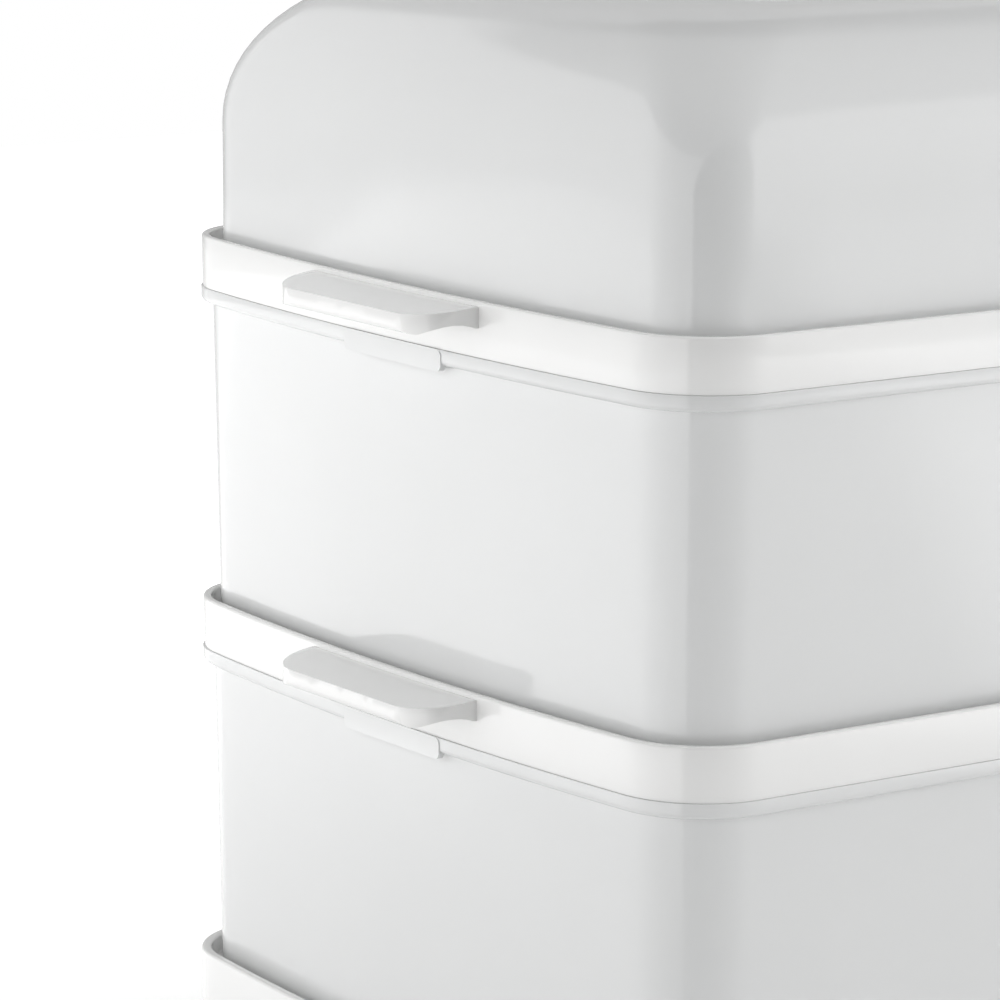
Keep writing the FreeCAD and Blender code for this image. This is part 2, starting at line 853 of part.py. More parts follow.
def make_drip_tray():
    half = tub_half_length - drip_gap
    front = tub_front + drip_gap
    back = tub_back - drip_gap
    corner = tub_corner - drip_gap
    floor = deck_top - drip_depth
    bowl = flat_block(-half, half, front, back, floor, deck_top, corner)
    grow = drip_gap + drip_flange
    flange = flat_block(-half - grow, half + grow, front - grow, back + grow,
                        deck_top, deck_top + drip_wall, corner + grow)
    hollow = flat_block(-half + drip_wall, half - drip_wall, front + drip_wall, back - drip_wall,
                        floor + drip_wall, deck_top + drip_wall + over, corner - drip_wall)
    tray = bowl.fuse(flange).cut(hollow)
    stacks = []
    bores = []
    for i in (-1, 0, 1):
        for j in (-0.5, 0.5):
            x = i * chimney_pitch_x
            y = tub_middle_y + j * chimney_pitch_y
            stacks.append(rod_z(x, y, floor, deck_top - chimney_top_gap,
                                chimney_diameter))
            bores.append(rod_z(x, y, floor - over, deck_top,
                               chimney_diameter - 2.0 * drip_wall))
    return tray.fuse(stacks).cut(Part.makeCompound(bores))


def make_collar():
    top = tub_floor_top + collar_height
    ring = rod_z(0, tub_middle_y, tub_floor_top, top, collar_diameter)
    ring = ring.cut(rod_z(0, tub_middle_y, tub_floor_top - over, top + over,
                          collar_diameter - 2.0 * collar_wall))
    reach = collar_diameter
    for k in range(4):
        notch = box(-notch_half_width, notch_half_width, 0.0, reach, tub_floor_top - over,
                    tub_floor_top + notch_height)
        notch.rotate(vec(0, 0, 0), vec(0, 0, 1), 45.0 + 90.0 * k)
        notch.translate(vec(0, tub_middle_y, 0))
        ring = ring.cut(notch)
    return ring


def make_heater():
    y = tub_middle_y
    seal_top = tub_floor_top + seal_thickness
    floor_bottom = tub_floor_top - tub_floor
    seal = rod_z(0, y, tub_floor_top, seal_top, seal_outer)
    seal = seal.cut(rod_z(0, y, tub_floor_top - over, seal_top + over, heater_bore))
    clamp_low = floor_bottom - clamp_thickness
    clamp = rod_z(0, y, clamp_low, floor_bottom, clamp_outer)
    clamp = clamp.cut(rod_z(0, y, clamp_low - over, floor_bottom + over, clamp_inner))
    studs = []
    for sx, sy in stud_places():
        hole = rod_z(sx, sy, clamp_low - over, seal_top, stud_diameter + 2.0 * stud_gap)
        seal = seal.cut(hole)
        clamp = clamp.cut(hole)
        stud = rod_z(sx, sy, clamp_low - nut_height - stud_end, seal_top, stud_diameter)
        corners = []
        for k in range(7):
            angle = math.radians(60.0 * k)
            radius = nut_width / 2.0 / math.cos(math.radians(30.0))
            corners.append(vec(sx + radius * math.cos(angle), sy + radius * math.sin(angle),
                               clamp_low - nut_height))
        nut = Part.Face(Part.makePolygon(corners)).extrude(vec(0, 0, nut_height))
        studs.append(stud.fuse(nut))
    keep("heater_seal", seal)
    keep("heater_clamp", clamp)
    keep("heater_studs", studs)
    keep("hot_plate", rod_z(0, y, seal_top, seal_top + hotplate_thickness, hotplate_diameter))

    block_low = seal_top - block_height
    block = rod_z(0, y, block_low, seal_top, block_diameter)
    ring = Part.makeTorus(element_ring_radius, element_tube / 2.0, vec(0, y, block_low),
                          vec(0, 0, 1), -180.0, 180.0, element_arc)
    ring.rotate(vec(0, y, 0), vec(0, 0, 1), 90.0 - element_arc / 2.0)
    groove = Part.makeTorus(element_ring_radius, element_tube / 2.0 + element_gap,
                            vec(0, y, block_low), vec(0, 0, 1))
    keep("heater_block", block.cut(groove))
    pins = []
    for degrees in (90.0 - element_arc / 2.0, 90.0 + element_arc / 2.0):
        angle = math.radians(degrees)
        px = element_ring_radius * math.cos(angle)
        py = y + element_ring_radius * math.sin(angle)
        pins.append(Part.makeSphere(element_tube / 2.0, vec(px, py, block_low)))
        pins.append(rod_z(px, py, block_low - element_leg, block_low, element_tube))
        pins.append(rod_z(px, py, block_low - element_leg - pin_length, block_low, pin_diameter))
    keep("heating_element", ring.fuse(pins))
    thermostat = rod_z(0, y, block_low - thermostat_height, block_low, thermostat_diameter)
    for side in (-1, 1):
        tx = side * tongue_spacing / 2.0
        tongue = box(tx - tongue_thickness / 2.0, tx + tongue_thickness / 2.0,
                     y - tongue_width / 2.0, y + tongue_width / 2.0,
                     block_low - thermostat_height - tongue_length,
                     block_low - thermostat_height)
        thermostat = thermostat.fuse(tongue)
    keep("thermostat", thermostat)
    fuse_y = y + element_ring_radius + element_tube / 2.0 + fuse_diameter / 2.0 + fuse_gap
    keep("thermal_fuse", rod_x(fuse_y, block_low - fuse_diameter / 2.0,
                               -fuse_length / 2.0, fuse_length / 2.0, fuse_diameter))
    return block_low


def button_x(k):
    return button_first_x + k * button_pitch


def lamp_x():
    return button_first_x + button_pitch / 2.0


def board_front():
    stem_end = panel_back + button_collar_thickness + button_stem_length
    return stem_end + button_rest_gap + button_travel + switch_depth


def board_posts():
    left = button_first_x - board_margin + board_post_inset_x
    right = button_first_x + button_pitch + board_margin - board_post_inset_x
    return [(left, board_high - board_post_inset_z), (right, board_low + board_post_inset_z)]


def make_panel():
    panel = front_block(-panel_half_width, panel_half_width, panel_low, panel_high,
                        panel_front, panel_back, panel_corner)
    for k in (0, 1):
        panel = panel.cut(rod_y(button_x(k), control_z, panel_front - over, panel_back + over,
                                button_diameter + 2.0 * button_play))
    panel = panel.cut(rod_y(lamp_x(), control_z + lamp_rise, panel_front - over,
                            panel_back + over, lamp_diameter + 2.0 * lens_play))
    panel = panel.cut(rod_y(timer_x, control_z, panel_front - over, panel_back + over,
                            panel_shaft_hole))
    extras = []
    for x, z in board_posts():
        extras.append(rod_y(x, z, panel_back, board_front(), board_post))
    m = window_margin
    edge = panel_half_width - m
    for side in (-1, 1):
        low = control_z - hook_half_height
        high = control_z + hook_half_height
        root = edge - panel_fit
        barb_y = wall_inside_y + side_sag(edge) + joint_gap
        arm = box(root - hook_thickness, root, panel_back, barb_y + hook_thickness, low, high)
        barb = box(root - hook_thickness, edge + hook_reach, barb_y, barb_y + hook_thickness,
                   low, high)
        hook = arm.fuse(barb)
        extras.append(hook if side > 0 else mirrored_x(hook))
    panel = panel.fuse(extras)
    for x, z in board_posts():
        panel = panel.cut(rod_y(x, z, board_front() - board_screw_depth, board_front() + over,
                                screw_shank + 2.0 * screw_clearance))
    for side in (-1, 1):
        panel = panel.cut(rod_y(timer_x + side * timer_screw_offset, control_z, panel_front - over,
                                panel_back + over, screw_shank + 2.0 * screw_clearance))
    return panel


def make_controls():
    keep("control_panel", make_panel())
    back = panel_back + timer_depth
    timer = front_block(timer_x - timer_width / 2.0, timer_x + timer_width / 2.0,
                        control_z - timer_tall / 2.0, control_z + timer_tall / 2.0,
                        panel_back, back, timer_corner)
    bore_end = panel_back + shaft_in_timer + shaft_end_gap
    timer = timer.cut(rod_y(timer_x, control_z, panel_back - over, bore_end,
                            shaft_diameter + 2.0 * shaft_play))
    screws = []
    for side in (-1, 1):
        x = timer_x + side * timer_screw_offset
        timer = timer.cut(rod_y(x, control_z, panel_back - over,
                                panel_front + timer_screw_length + over,
                                screw_shank + 2.0 * screw_clearance))
        head = rod_y(x, control_z, panel_front - timer_screw_head, panel_front, screw_head)
        shank = rod_y(x, control_z, panel_front, panel_front + timer_screw_length, screw_shank)
        screws.append(head.fuse(shank))
    keep("timer_body", timer)
    keep("timer_screws", screws)
    knob_back = panel_front - timer_knob_gap
    knob_front = knob_back - timer_knob_height
    shaft_front = knob_back - shaft_in_knob
    keep("timer_shaft", rod_y(timer_x, control_z, shaft_front, panel_back + shaft_in_timer,
                              shaft_diameter))
    skirt = rod_y(timer_x, control_z, knob_back - knob_skirt_height, knob_back,
                  timer_knob_diameter)
    crown_radius = timer_knob_diameter / 2.0 - knob_crown_inset
    body = Part.makeCone(crown_radius - knob_crown_taper, crown_radius,
                         timer_knob_height - knob_skirt_height,
                         vec(timer_x, knob_front, control_z), vec(0, 1, 0))
    body = body.makeFillet(knob_round, [e for e in body.Edges
                                 if all(abs(v.Point.y - knob_front) < 0.01 for v in e.Vertexes)])
    knob = skirt.fuse(body)
    for side in (-1, 1):
        inner = timer_x + side * grip_width / 2.0
        outer = timer_x + side * timer_knob_diameter
        scoop = box(min(inner, outer), max(inner, outer), knob_front - over,
                    knob_front + grip_depth, control_z - timer_knob_diameter,
                    control_z + timer_knob_diameter)
        knob = knob.cut(scoop)
    knob = knob.cut(rod_y(timer_x, control_z, shaft_front - shaft_fit, knob_back + over,
                          shaft_diameter + 2.0 * shaft_fit))
    recess = rod_y(timer_x, control_z, knob_back - knob_recess, knob_back + over,
                   timer_knob_diameter - 2.0 * knob_skirt_wall)
    hub = rod_y(timer_x, control_z, knob_back - knob_recess, knob_back + over, knob_hub)
    knob = knob.cut(recess.cut(hub))
    keep("timer_knob", knob)

    names = ("power_button", "warm_button")
    switches = []
    for k, name in enumerate(names):
        x = button_x(k)
        collar_front = panel_back + joint_gap
        stem_end = board_front() - switch_depth - button_travel - button_rest_gap
        cap = rod_y(x, control_z, panel_front - button_proud, collar_front, button_diameter)
        cap = cap.makeFillet(button_round, [e for e in cap.Edges if all(
            abs(v.Point.y - (panel_front - button_proud)) < 0.01 for v in e.Vertexes)])
        collar = rod_y(x, control_z, collar_front, collar_front + button_collar_thickness,
                       button_collar)
        stem = rod_y(x, control_z, collar_front, stem_end, button_stem)
        keep(name, cap.fuse([collar, stem]))
        half = switch_size / 2.0
        switches.append(box(x - half, x + half, board_front() - switch_depth, board_front(),
                            control_z - half, control_z + half))
    keep("button_switches", switches)
    left = button_first_x - board_margin
    right = button_first_x + button_pitch + board_margin
    board = box(left, right, board_front(), board_front() + board_thickness, board_low, board_high)
    screws = []
    for x, z in board_posts():
        board = board.cut(rod_y(x, z, board_front() - over, board_front() + board_thickness + over,
                                screw_shank + 2.0 * screw_clearance))
        head = rod_y(x, z, board_front() + board_thickness,
                     board_front() + board_thickness + screw_head_height, screw_head)
        shank = rod_y(x, z, board_front() - board_screw_depth + screw_end_gap,
                      board_front() + board_thickness, screw_shank)
        screws.append(head.fuse(shank))
    keep("switch_board", board)
    keep("board_screws", screws)
    lamp_z = control_z + lamp_rise
    led_front = board_front() - led_length
    keep("indicator_led", rod_y(lamp_x(), lamp_z, led_front, board_front(), led_diameter))
    lens = rod_y(lamp_x(), lamp_z, panel_front - lens_proud, led_front - joint_gap, lamp_diameter)
    lens = lens.fuse(rod_y(lamp_x(), lamp_z, panel_back, panel_back + lens_flange_thickness,
                           lens_flange))
    keep("lamp_lens", lens)


def make_inlet():
    near_x = abs(gland_x) - gland_flange / 2.0
    far_x = abs(gland_x) + gland_flange / 2.0
    outside = half_depth + housing_proud - side_sag(near_x) + joint_gap
    inside = half_depth + housing_proud - housing_wall - side_sag(far_x) - joint_gap
    end = inside - gland_nut - gland_tail
    barrel = rod_y(gland_x, gland_z, end, outside, gland_diameter)
    flange = rod_y(gland_x, gland_z, outside, outside + gland_flange_thickness, gland_flange)
    nut = rod_y(gland_x, gland_z, inside - gland_nut, inside, gland_flange)
    gland = barrel.fuse([flange, nut])
    gland = gland.cut(rod_y(gland_x, gland_z, end - over,
                            outside + gland_flange_thickness + over, gland_bore))
    keep("cord_gland", gland)


def make_wiring(block_low):
    z0 = housing_bottom
    x1 = gland_x + block_offset
    x0 = x1 - block_length
    y1 = half_depth - block_from_back
    y0 = y1 - block_width
    terminal = box(x0, x1, y0, y1, z0, z0 + block_tall)
    slots = []
    for k in range(3):
        x = x0 + (k + 0.5) * block_length / 3.0
        slots.append(rod_z(x, y1 - terminal_inset, z0 + terminal_floor, z0 + block_tall + over,
                           terminal_bore))
    keep("terminal_block", terminal.cut(Part.makeCompound(slots)))
    run_z = z0 + wire_height
    timer_low = control_z - timer_tall / 2.0
    timer_y = panel_back + timer_depth - timer_wire_inset
    pin_angle = math.radians(90.0 - element_arc / 2.0)
    pin_x = element_ring_radius * math.cos(pin_angle)
    pin_y = tub_middle_y + element_ring_radius * math.sin(pin_angle)
    pin_z = block_low - element_leg - pin_length
    tongue_z = block_low - thermostat_height - tongue_length
    exit_step = block_length / 3.0
    live_x = timer_x - live_wire_offset
    switched_x = timer_x + switched_wire_offset
    live = [vec(x0 + 0.5 * exit_step, y0, run_z),
            vec(x0 + 0.5 * exit_step, y0 - live_run_out, run_z),
            vec(live_x, timer_y + timer_wire_rise, run_z), vec(live_x, timer_y, run_z),
            vec(live_x, timer_y, timer_low)]
    tongue_x = -tongue_spacing / 2.0
    switched = [vec(switched_x, timer_y, timer_low), vec(switched_x, timer_y, run_z),
                vec(tongue_x, tub_middle_y - switched_run_in, run_z),
                vec(tongue_x, tub_middle_y, run_z),
                vec(tongue_x, tub_middle_y, tongue_z)]
    neutral = [vec(x0 + 2.5 * exit_step, y0, run_z),
               vec(x0 + 2.5 * exit_step, y0 - neutral_run_out, run_z),
               vec(pin_x - pin_side_step, pin_y + pin_run_in, run_z), vec(pin_x, pin_y, run_z),
               vec(pin_x, pin_y, pin_z)]
    for name, points in (("live_wire", live), ("switched_wire", switched),
                         ("neutral_wire", neutral)):
        keep(name, tube_path(points, wire_diameter))


keep("base_housing", make_housing())
keep("bottom_cover", make_bottom_cover())
keep("rubber_feet", make_feet())
keep("cover_screws", make_cover_screws())
keep("water_tub", make_tub())
keep("tub_screws", make_tub_screws())
keep("water_filler", make_filler())
keep("water_gauge", make_gauge())
heater_block_low = make_heater()
keep("steam_collar", make_collar())
keep("drip_tray", make_drip_tray())
make_controls()
make_inlet()
make_wiring(heater_block_low)
for tray, top in (("lower", lower_rim_top), ("upper", upper_rim_top)):
    keep(tray + "_tray_rim", make_rim(top))
    keep(tray + "_tray_bowl", make_bowl(top))
    keep(tray + "_floor_grid", make_grid(top))
keep("lid_dome", make_lid())
keep("lid_handle", make_lid_handle())
keep("lid_screws", make_lid_screws())

# The origin goes under the middle of the whole object, on the surface that it stands on
whole = FreeCAD.BoundBox()
for shape in shapes.values():
    whole.add(shape.BoundBox)
shift = vec(-whole.Center.x, -whole.Center.y, 0.0)
os.makedirs("parts", exist_ok=True)
for name, shape in shapes.items():
    moved = shape.copy()
    moved.translate(shift)
    moved.exportStep(os.path.join("parts", name + ".step"))
print("shift %.4f %.4f" % (shift.x, shift.y))
print("size %.2f %.2f %.2f" % (whole.XLength, whole.YLength, whole.ZLength))
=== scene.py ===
"""Electric food steamer: base with controls, drip tray, two clear trays and a clear lid.

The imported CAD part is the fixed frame. This script gives every solid its finish, and models
again the pieces that show most: rims with their handle plates, bowls, lid, lid handle,
housing, timer knob and buttons. The panel stays as it is and gets its printed marks. Sizes
are millimetres in the fields and metres in the meshes.
"""

from __future__ import annotations

import logging
import math
from dataclasses import dataclass
from enum import Enum
from typing import Sequence

import bmesh
import bpy
from mathutils import Matrix, Vector

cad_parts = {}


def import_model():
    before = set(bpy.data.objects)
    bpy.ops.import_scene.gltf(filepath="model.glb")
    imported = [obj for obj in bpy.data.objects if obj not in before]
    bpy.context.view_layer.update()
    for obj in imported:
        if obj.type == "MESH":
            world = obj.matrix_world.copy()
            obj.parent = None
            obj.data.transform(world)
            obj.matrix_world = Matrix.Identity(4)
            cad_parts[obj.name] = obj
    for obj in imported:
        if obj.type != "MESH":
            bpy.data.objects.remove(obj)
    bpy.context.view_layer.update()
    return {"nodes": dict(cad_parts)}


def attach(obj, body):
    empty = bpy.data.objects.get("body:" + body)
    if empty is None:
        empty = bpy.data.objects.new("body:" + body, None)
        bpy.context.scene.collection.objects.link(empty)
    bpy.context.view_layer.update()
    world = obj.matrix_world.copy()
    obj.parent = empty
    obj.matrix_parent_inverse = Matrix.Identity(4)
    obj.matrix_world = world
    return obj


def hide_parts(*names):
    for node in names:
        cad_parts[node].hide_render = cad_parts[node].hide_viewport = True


Piece = bpy.types.Object
Tree = bpy.types.NodeTree
Socket = bpy.types.NodeSocket
LOG = logging.getLogger("steamer")
MM = 0.001
X_AXIS, Y_AXIS, Z_AXIS = (Vector(row) for row in ((1, 0, 0), (0, 1, 0), (0, 0, 1)))
WHITE = (1.0, 1.0, 1.0, 1.0)
# Span that holds nearly all values of a noise, and the least roughness of a finish
NOISE_SPAN = (0.3, 0.7)
LEAST_ROUGHNESS = 0.01


class Body(str, Enum):
    """CAD bodies that pieces ride on."""

    BASE = "base"
    DIAL = "timer_dial"
    POWER = "power_button"
    WARM = "warm_button"
    LOWER_TRAY = "lower_tray"
    UPPER_TRAY = "upper_tray"
    LID = "lid"


class Join(str, Enum):
    """Ways in which two closed meshes are combined."""

    ADD = "UNION"
    TAKE_AWAY = "DIFFERENCE"


class Grain(Enum):
    """Surface patterns: texture node, its output, its detail and its scale along Z."""

    MOULDED = ("ShaderNodeTexNoise", "Fac", 2.0, 1.0)
    TEXTURED = ("ShaderNodeTexNoise", "Fac", 5.0, 1.0)
    BRUSHED = ("ShaderNodeTexNoise", "Fac", 2.0, 0.04)
    CAST = ("ShaderNodeTexVoronoi", "Distance", None, 1.0)
    WOVEN_BOARD = ("ShaderNodeTexChecker", "Fac", None, 1.0)


# Colour and node helpers


def linear(hex_colour: str) -> tuple[float, float, float, float]:
    """Turns an sRGB hex colour into a linear colour.

    Args:
        hex_colour: Colour such as "#F2F2F0".

    Returns:
        Red, green, blue and alpha for a shader socket.
    """
    parts = [int(hex_colour[i:i + 2], 16) / 255.0 for i in (1, 3, 5)]
    straight = [c / 12.92 if c <= 0.04045 else ((c + 0.055) / 1.055) ** 2.4 for c in parts]
    return straight[0], straight[1], straight[2], 1.0


def per_metre(size_mm: float) -> float:
    """Scale of a noise whose grains are about size_mm across."""
    return 1.0 / (size_mm * MM)


def add_node(tree: Tree, kind: str, settings: dict | None = None,
             links: dict | None = None) -> bpy.types.Node:
    """Adds a node, sets its values and links its inputs.

    Args:
        tree: Node tree that gets the node.
        kind: Type name of the node.
        settings: Attribute names, or input names and numbers, with their values.
        links: Input names or numbers with the output sockets that feed them.

    Returns:
        The new node.
    """
    node = tree.nodes.new(kind)
    for key, value in (settings or {}).items():
        if isinstance(key, str) and hasattr(node, key):
            setattr(node, key, value)
        else:
            node.inputs[key].default_value = value
    for key, socket in (links or {}).items():
        tree.links.new(socket, node.inputs[key])
    return node


@dataclass(frozen=True)
class Finish:
    """Moulded or metal surface with its grain, as one material.

    Attributes:
        name: Common name of the real material and how its surface was made.
        colour: Main colour as sRGB hex.
        shade: Second colour of the slow, faint variation.
        roughness: Mean roughness.
        spread: How far the roughness wanders from its mean.
        ior: Index of refraction.
        metallic: 1 for bare metal.
        transmission: Share of the light that goes through.
        grain: Pattern of the surface.
        grain_mm: Size of the pattern.
        relief_mm: Height of the pattern.
        coat: Weight of a clear glossy skin.
        coat_roughness: Roughness of that skin.
        slow_mm: Size of the slow change between the two colours.
    """

    name: str
    colour: str
    shade: str
    roughness: float = 0.3
    spread: float = 0.04
    ior: float = 1.5
    metallic: float = 0.0
    transmission: float = 0.0
    grain: Grain = Grain.MOULDED
    grain_mm: float = 6.0
    relief_mm: float = 0.004
    coat: float = 0.0
    coat_roughness: float = 0.06
    slow_mm: float = 45.0

    def material(self) -> bpy.types.Material:
        """Material of this finish, made once.

        Returns:
            The material with its node tree.
        """
        known = bpy.data.materials.get(self.name)
        if known is not None:
            return known
        made = bpy.data.materials.new(self.name)
        made.use_nodes = True
        tree = made.node_tree
        tree.nodes.clear()
        place = add_node(tree, "ShaderNodeTexCoord").outputs["Object"]
        slow = add_node(tree, "ShaderNodeTexNoise",
                        {"Scale": per_metre(self.slow_mm), "Detail": 2.0}, {"Vector": place})
        fine = self._fine(tree, place)
        colour = add_node(tree, "ShaderNodeMix", {
            "data_type": "RGBA", 6: linear(self.colour), 7: linear(self.shade)},
            {"Factor": slow.outputs["Fac"]})
        rough = add_node(tree, "ShaderNodeMapRange", {
            "From Min": NOISE_SPAN[0], "From Max": NOISE_SPAN[1],
            "To Min": max(LEAST_ROUGHNESS, self.roughness - self.spread),
            "To Max": self.roughness + self.spread}, {"Value": fine})
        bump = add_node(tree, "ShaderNodeBump", {
            "Strength": 1.0, "Distance": self.relief_mm * MM}, {"Height": fine})
        shader = add_node(tree, "ShaderNodeBsdfPrincipled", {
            "Metallic": self.metallic, "Transmission Weight": self.transmission,
            "Coat Weight": self.coat, "Coat Roughness": self.coat_roughness,
        }, {"Base Color": colour.outputs[2], "Roughness": rough.outputs["Result"],
            "Normal": bump.outputs["Normal"]})
        if not self.metallic:
            shader.inputs["IOR"].default_value = self.ior
        add_node(tree, "ShaderNodeOutputMaterial", None, {"Surface": shader.outputs["BSDF"]})
        return made

    def _fine(self, tree: Tree, source: Socket) -> Socket:
        """Height of the fine pattern.

        Args:
            tree: Node tree of the material.
            source: Coordinates that the pattern reads.

        Returns:
            Output socket with the height.
        """
        kind, output, detail, stretch = self.grain.value
        if stretch != 1.0:
            source = add_node(tree, "ShaderNodeMapping", {"Scale": (1.0, 1.0, stretch)},
                              {"Vector": source}).outputs["Vector"]
        settings = {"Scale": per_metre(self.grain_mm)}
        if detail is not None:
            settings["Detail"] = detail
        return add_node(tree, kind, settings, {"Vector": source}).outputs[output]


# White ABS from a polished mould: even, with a glossy skin and faint waviness
WHITE_ABS = Finish("ABS_white_polished_mould", "#F3F3F2", "#F0F0EF", 0.2, 0.03, 1.53,
                   grain_mm=14.0, relief_mm=0.004, coat=1.0)
# White ABS with a fine spark-eroded texture, on the underside
WHITE_ABS_TEXTURED = Finish("ABS_white_fine_texture", "#E9E9E7", "#E4E4E2", 0.5, 0.05, 1.53,
                            grain=Grain.TEXTURED, grain_mm=0.8, relief_mm=0.02)
# Hazy SAN of the bowls and the lid: lets a little light through and mirrors the room
CLEAR_SAN = Finish("SAN_clear_hazy", "#F6F7F7", "#F3F4F4", 0.10, 0.02, 1.57,
                   transmission=0.2, grain_mm=18.0, relief_mm=0.008, coat=0.6)
# Milky polypropylene of the loose floor grids: cloudy, softly glossy
MILKY_PP = Finish("polypropylene_milky", "#F3F4F4", "#EEEFEF", 0.2, 0.04, 1.49,
                  transmission=0.2, grain_mm=6.0, relief_mm=0.008)
# Smoke-tinted SAN of the drip tray
SMOKE_SAN = Finish("SAN_smoke_tinted", "#8D9092", "#86898B", 0.14, 0.03, 1.57,
                   transmission=0.7, grain_mm=12.0, relief_mm=0.008)
# Satin grey polypropylene of the water tub, filler and steam collar
GREY_PP = Finish("polypropylene_grey_satin", "#A6A8AA", "#9EA0A2", 0.42, 0.06, 1.49,
                 grain=Grain.TEXTURED, grain_mm=1.2, relief_mm=0.015)
# Glossy light grey ABS of the control panel
GREY_ABS = Finish("ABS_light_grey_glossy", "#C4C6C8", "#BFC1C3", 0.2, 0.03, 1.53,
                  grain_mm=10.0, relief_mm=0.005, coat=0.2)
# Dark grey ink of the dial marks, screen printed
GREY_INK = Finish("screen_ink_dark_grey", "#4A4D50", "#44474A", 0.45, 0.05, 1.5,
                  grain=Grain.TEXTURED, grain_mm=0.6, relief_mm=0.004)
# Clear SAN without haze, over the water level
CLEAR_GAUGE = Finish("SAN_clear_gauge", "#F2F5F6", "#EEF2F3", 0.05, 0.01, 1.57,
                     transmission=0.92, grain_mm=12.0, relief_mm=0.004)
# Amber PMMA of the lamp lens
AMBER_PMMA = Finish("PMMA_amber", "#E88A1E", "#E0801A", 0.08, 0.02, 1.49,
                    transmission=0.6, grain_mm=4.0, relief_mm=0.004)
# Dark grey rubber of the feet and the cord inlet
RUBBER = Finish("rubber_dark_grey", "#4C4D4F", "#454648", 0.72, 0.08, 1.52,
                grain=Grain.TEXTURED, grain_mm=0.7, relief_mm=0.03)
# Red-brown silicone seal under the hot plate
SILICONE = Finish("silicone_red_brown", "#C9553B", "#BE4F36", 0.45, 0.06, 1.41,
                  grain=Grain.TEXTURED, grain_mm=1.0, relief_mm=0.01)
# Stainless steel with fine brushing
STEEL = Finish("stainless_steel_brushed", "#C6C5C2", "#BDBCBA", 0.26, 0.08, 1.5,
               metallic=1.0, grain=Grain.BRUSHED, grain_mm=0.35, relief_mm=0.004)
# Die-cast aluminium block with its matte skin
CAST_ALUMINIUM = Finish("aluminium_die_cast", "#B4B5B6", "#A9AAAB", 0.5, 0.08, 1.5,
                        metallic=1.0, grain=Grain.CAST, grain_mm=0.9, relief_mm=0.02)
# Unglazed ceramic of the fuse and the terminal block
CERAMIC = Finish("steatite_fired", "#E4E0D6", "#DCD8CD", 0.6, 0.06, 1.6,
                 grain=Grain.TEXTURED, grain_mm=0.5, relief_mm=0.015)
# Black glass-filled nylon of the timer and the small switches
BLACK_NYLON = Finish("nylon_black_glass_filled", "#1E1F20", "#252627", 0.5, 0.07, 1.53,
                     grain=Grain.TEXTURED, grain_mm=0.6, relief_mm=0.02)
# Glass-epoxy board under green solder mask: the weave shows faintly
BOARD = Finish("glass_epoxy_green", "#2C6B3F", "#28633A", 0.32, 0.04, 1.55,
               grain=Grain.WOVEN_BOARD, grain_mm=0.9, relief_mm=0.006)
# Extruded silicone-rubber sleeves of the mains wires
WIRE_BROWN = Finish("wire_sleeve_brown", "#5A3220", "#53301F", 0.4, 0.05, 1.45,
                    grain=Grain.TEXTURED, grain_mm=0.8, relief_mm=0.006)
WIRE_BLUE = Finish("wire_sleeve_blue", "#2456A0", "#215098", 0.4, 0.05, 1.45,
                   grain=Grain.TEXTURED, grain_mm=0.8, relief_mm=0.006)


# Modelling helpers


@dataclass(frozen=True)
class Plan:
    """Plan outline that all the tiers share: bowed ends, nearly flat sides, round corners.

    Attributes:
        length: Size along X at the rim.
        depth: Size along Y at the rim.
        end_bow: Radius of the bowed ends.
        side_bow: Radius of the nearly flat front and back.
        corner: Radius of the corners.
        middle_y: Where the middle of the stack lies along Y.
        end_steps: Points along an end.
        side_steps: Points along a side.
        corner_steps: Points along a corner.
    """

    length: float = 320.0
    depth: float = 236.0
    end_bow: float = 980.0
    side_bow: float = 15000.0
    corner: float = 25.0
    middle_y: float = 9.5067
    end_steps: int = 20
    side_steps: int = 10
    corner_steps: int = 16

    def quarter(self, offset: float, corner: float | None) -> list[tuple[float, float]]:
        """Points of the +X +Y quarter, from the middle of the end to the middle of the side.

        Args:
            offset: How far outside the rim's face the outline runs.
            corner: Corner radius, or None for the rim's own moved by offset.

        Returns:
            Plan points about the middle of the stack, in millimetres.
        """
        r_end = self.end_bow + offset
        r_side = self.side_bow + offset
        r_corner = self.corner + offset if corner is None else corner
        end_x = self.length / 2.0 - self.end_bow
        side_y = self.depth / 2.0 - self.side_bow
        ra = r_end - r_corner
        rb = r_side - r_corner
        gap = math.hypot(end_x, side_y)
        along = (ra * ra - rb * rb + gap * gap) / (2.0 * gap)
        height = math.sqrt(ra * ra - along * along)
        ux = -end_x / gap
        uy = side_y / gap
        cx = end_x + along * ux - height * uy
        cy = along * uy + height * ux
        end_turn = math.atan2(cy, cx - end_x)
        side_turn = math.atan2(cy - side_y, cx)
        end, side = self.end_steps // 2, self.side_steps // 2
        points = []
        for x, y, r, start, stop, steps, count in (
                (end_x, 0.0, r_end, 0.0, end_turn, end, end),
                (cx, cy, r_corner, end_turn, side_turn, self.corner_steps, self.corner_steps),
                (0.0, side_y, r_side, side_turn, math.pi / 2.0, side, side + 1)):
            for i in range(count):
                a = start + (stop - start) * i / steps
                points.append((x + r * math.cos(a), y + r * math.sin(a)))
        return points

    def loop(self, offset: float, z: float, corner: float | None = None) -> list[Vector]:
        """Whole outline, counter-clockwise from the middle of the +X end.

        Args:
            offset: How far outside the rim's face the outline runs.
            z: Height.
            corner: Corner radius, or None for the rim's own moved by offset.

        Returns:
            Points in metres in the row frame.
        """
        first = self.quarter(offset, corner)
        second = [(-x, y) for x, y in reversed(first)][1:]
        half = first + second
        back = [(x, -y) for x, y in reversed(half)][1:-1]
        return [Vector((x, y + self.middle_y, z)) * MM for x, y in half + back]


PLAN = Plan()
MIDDLE = Vector((0.0, PLAN.middle_y, 0.0))


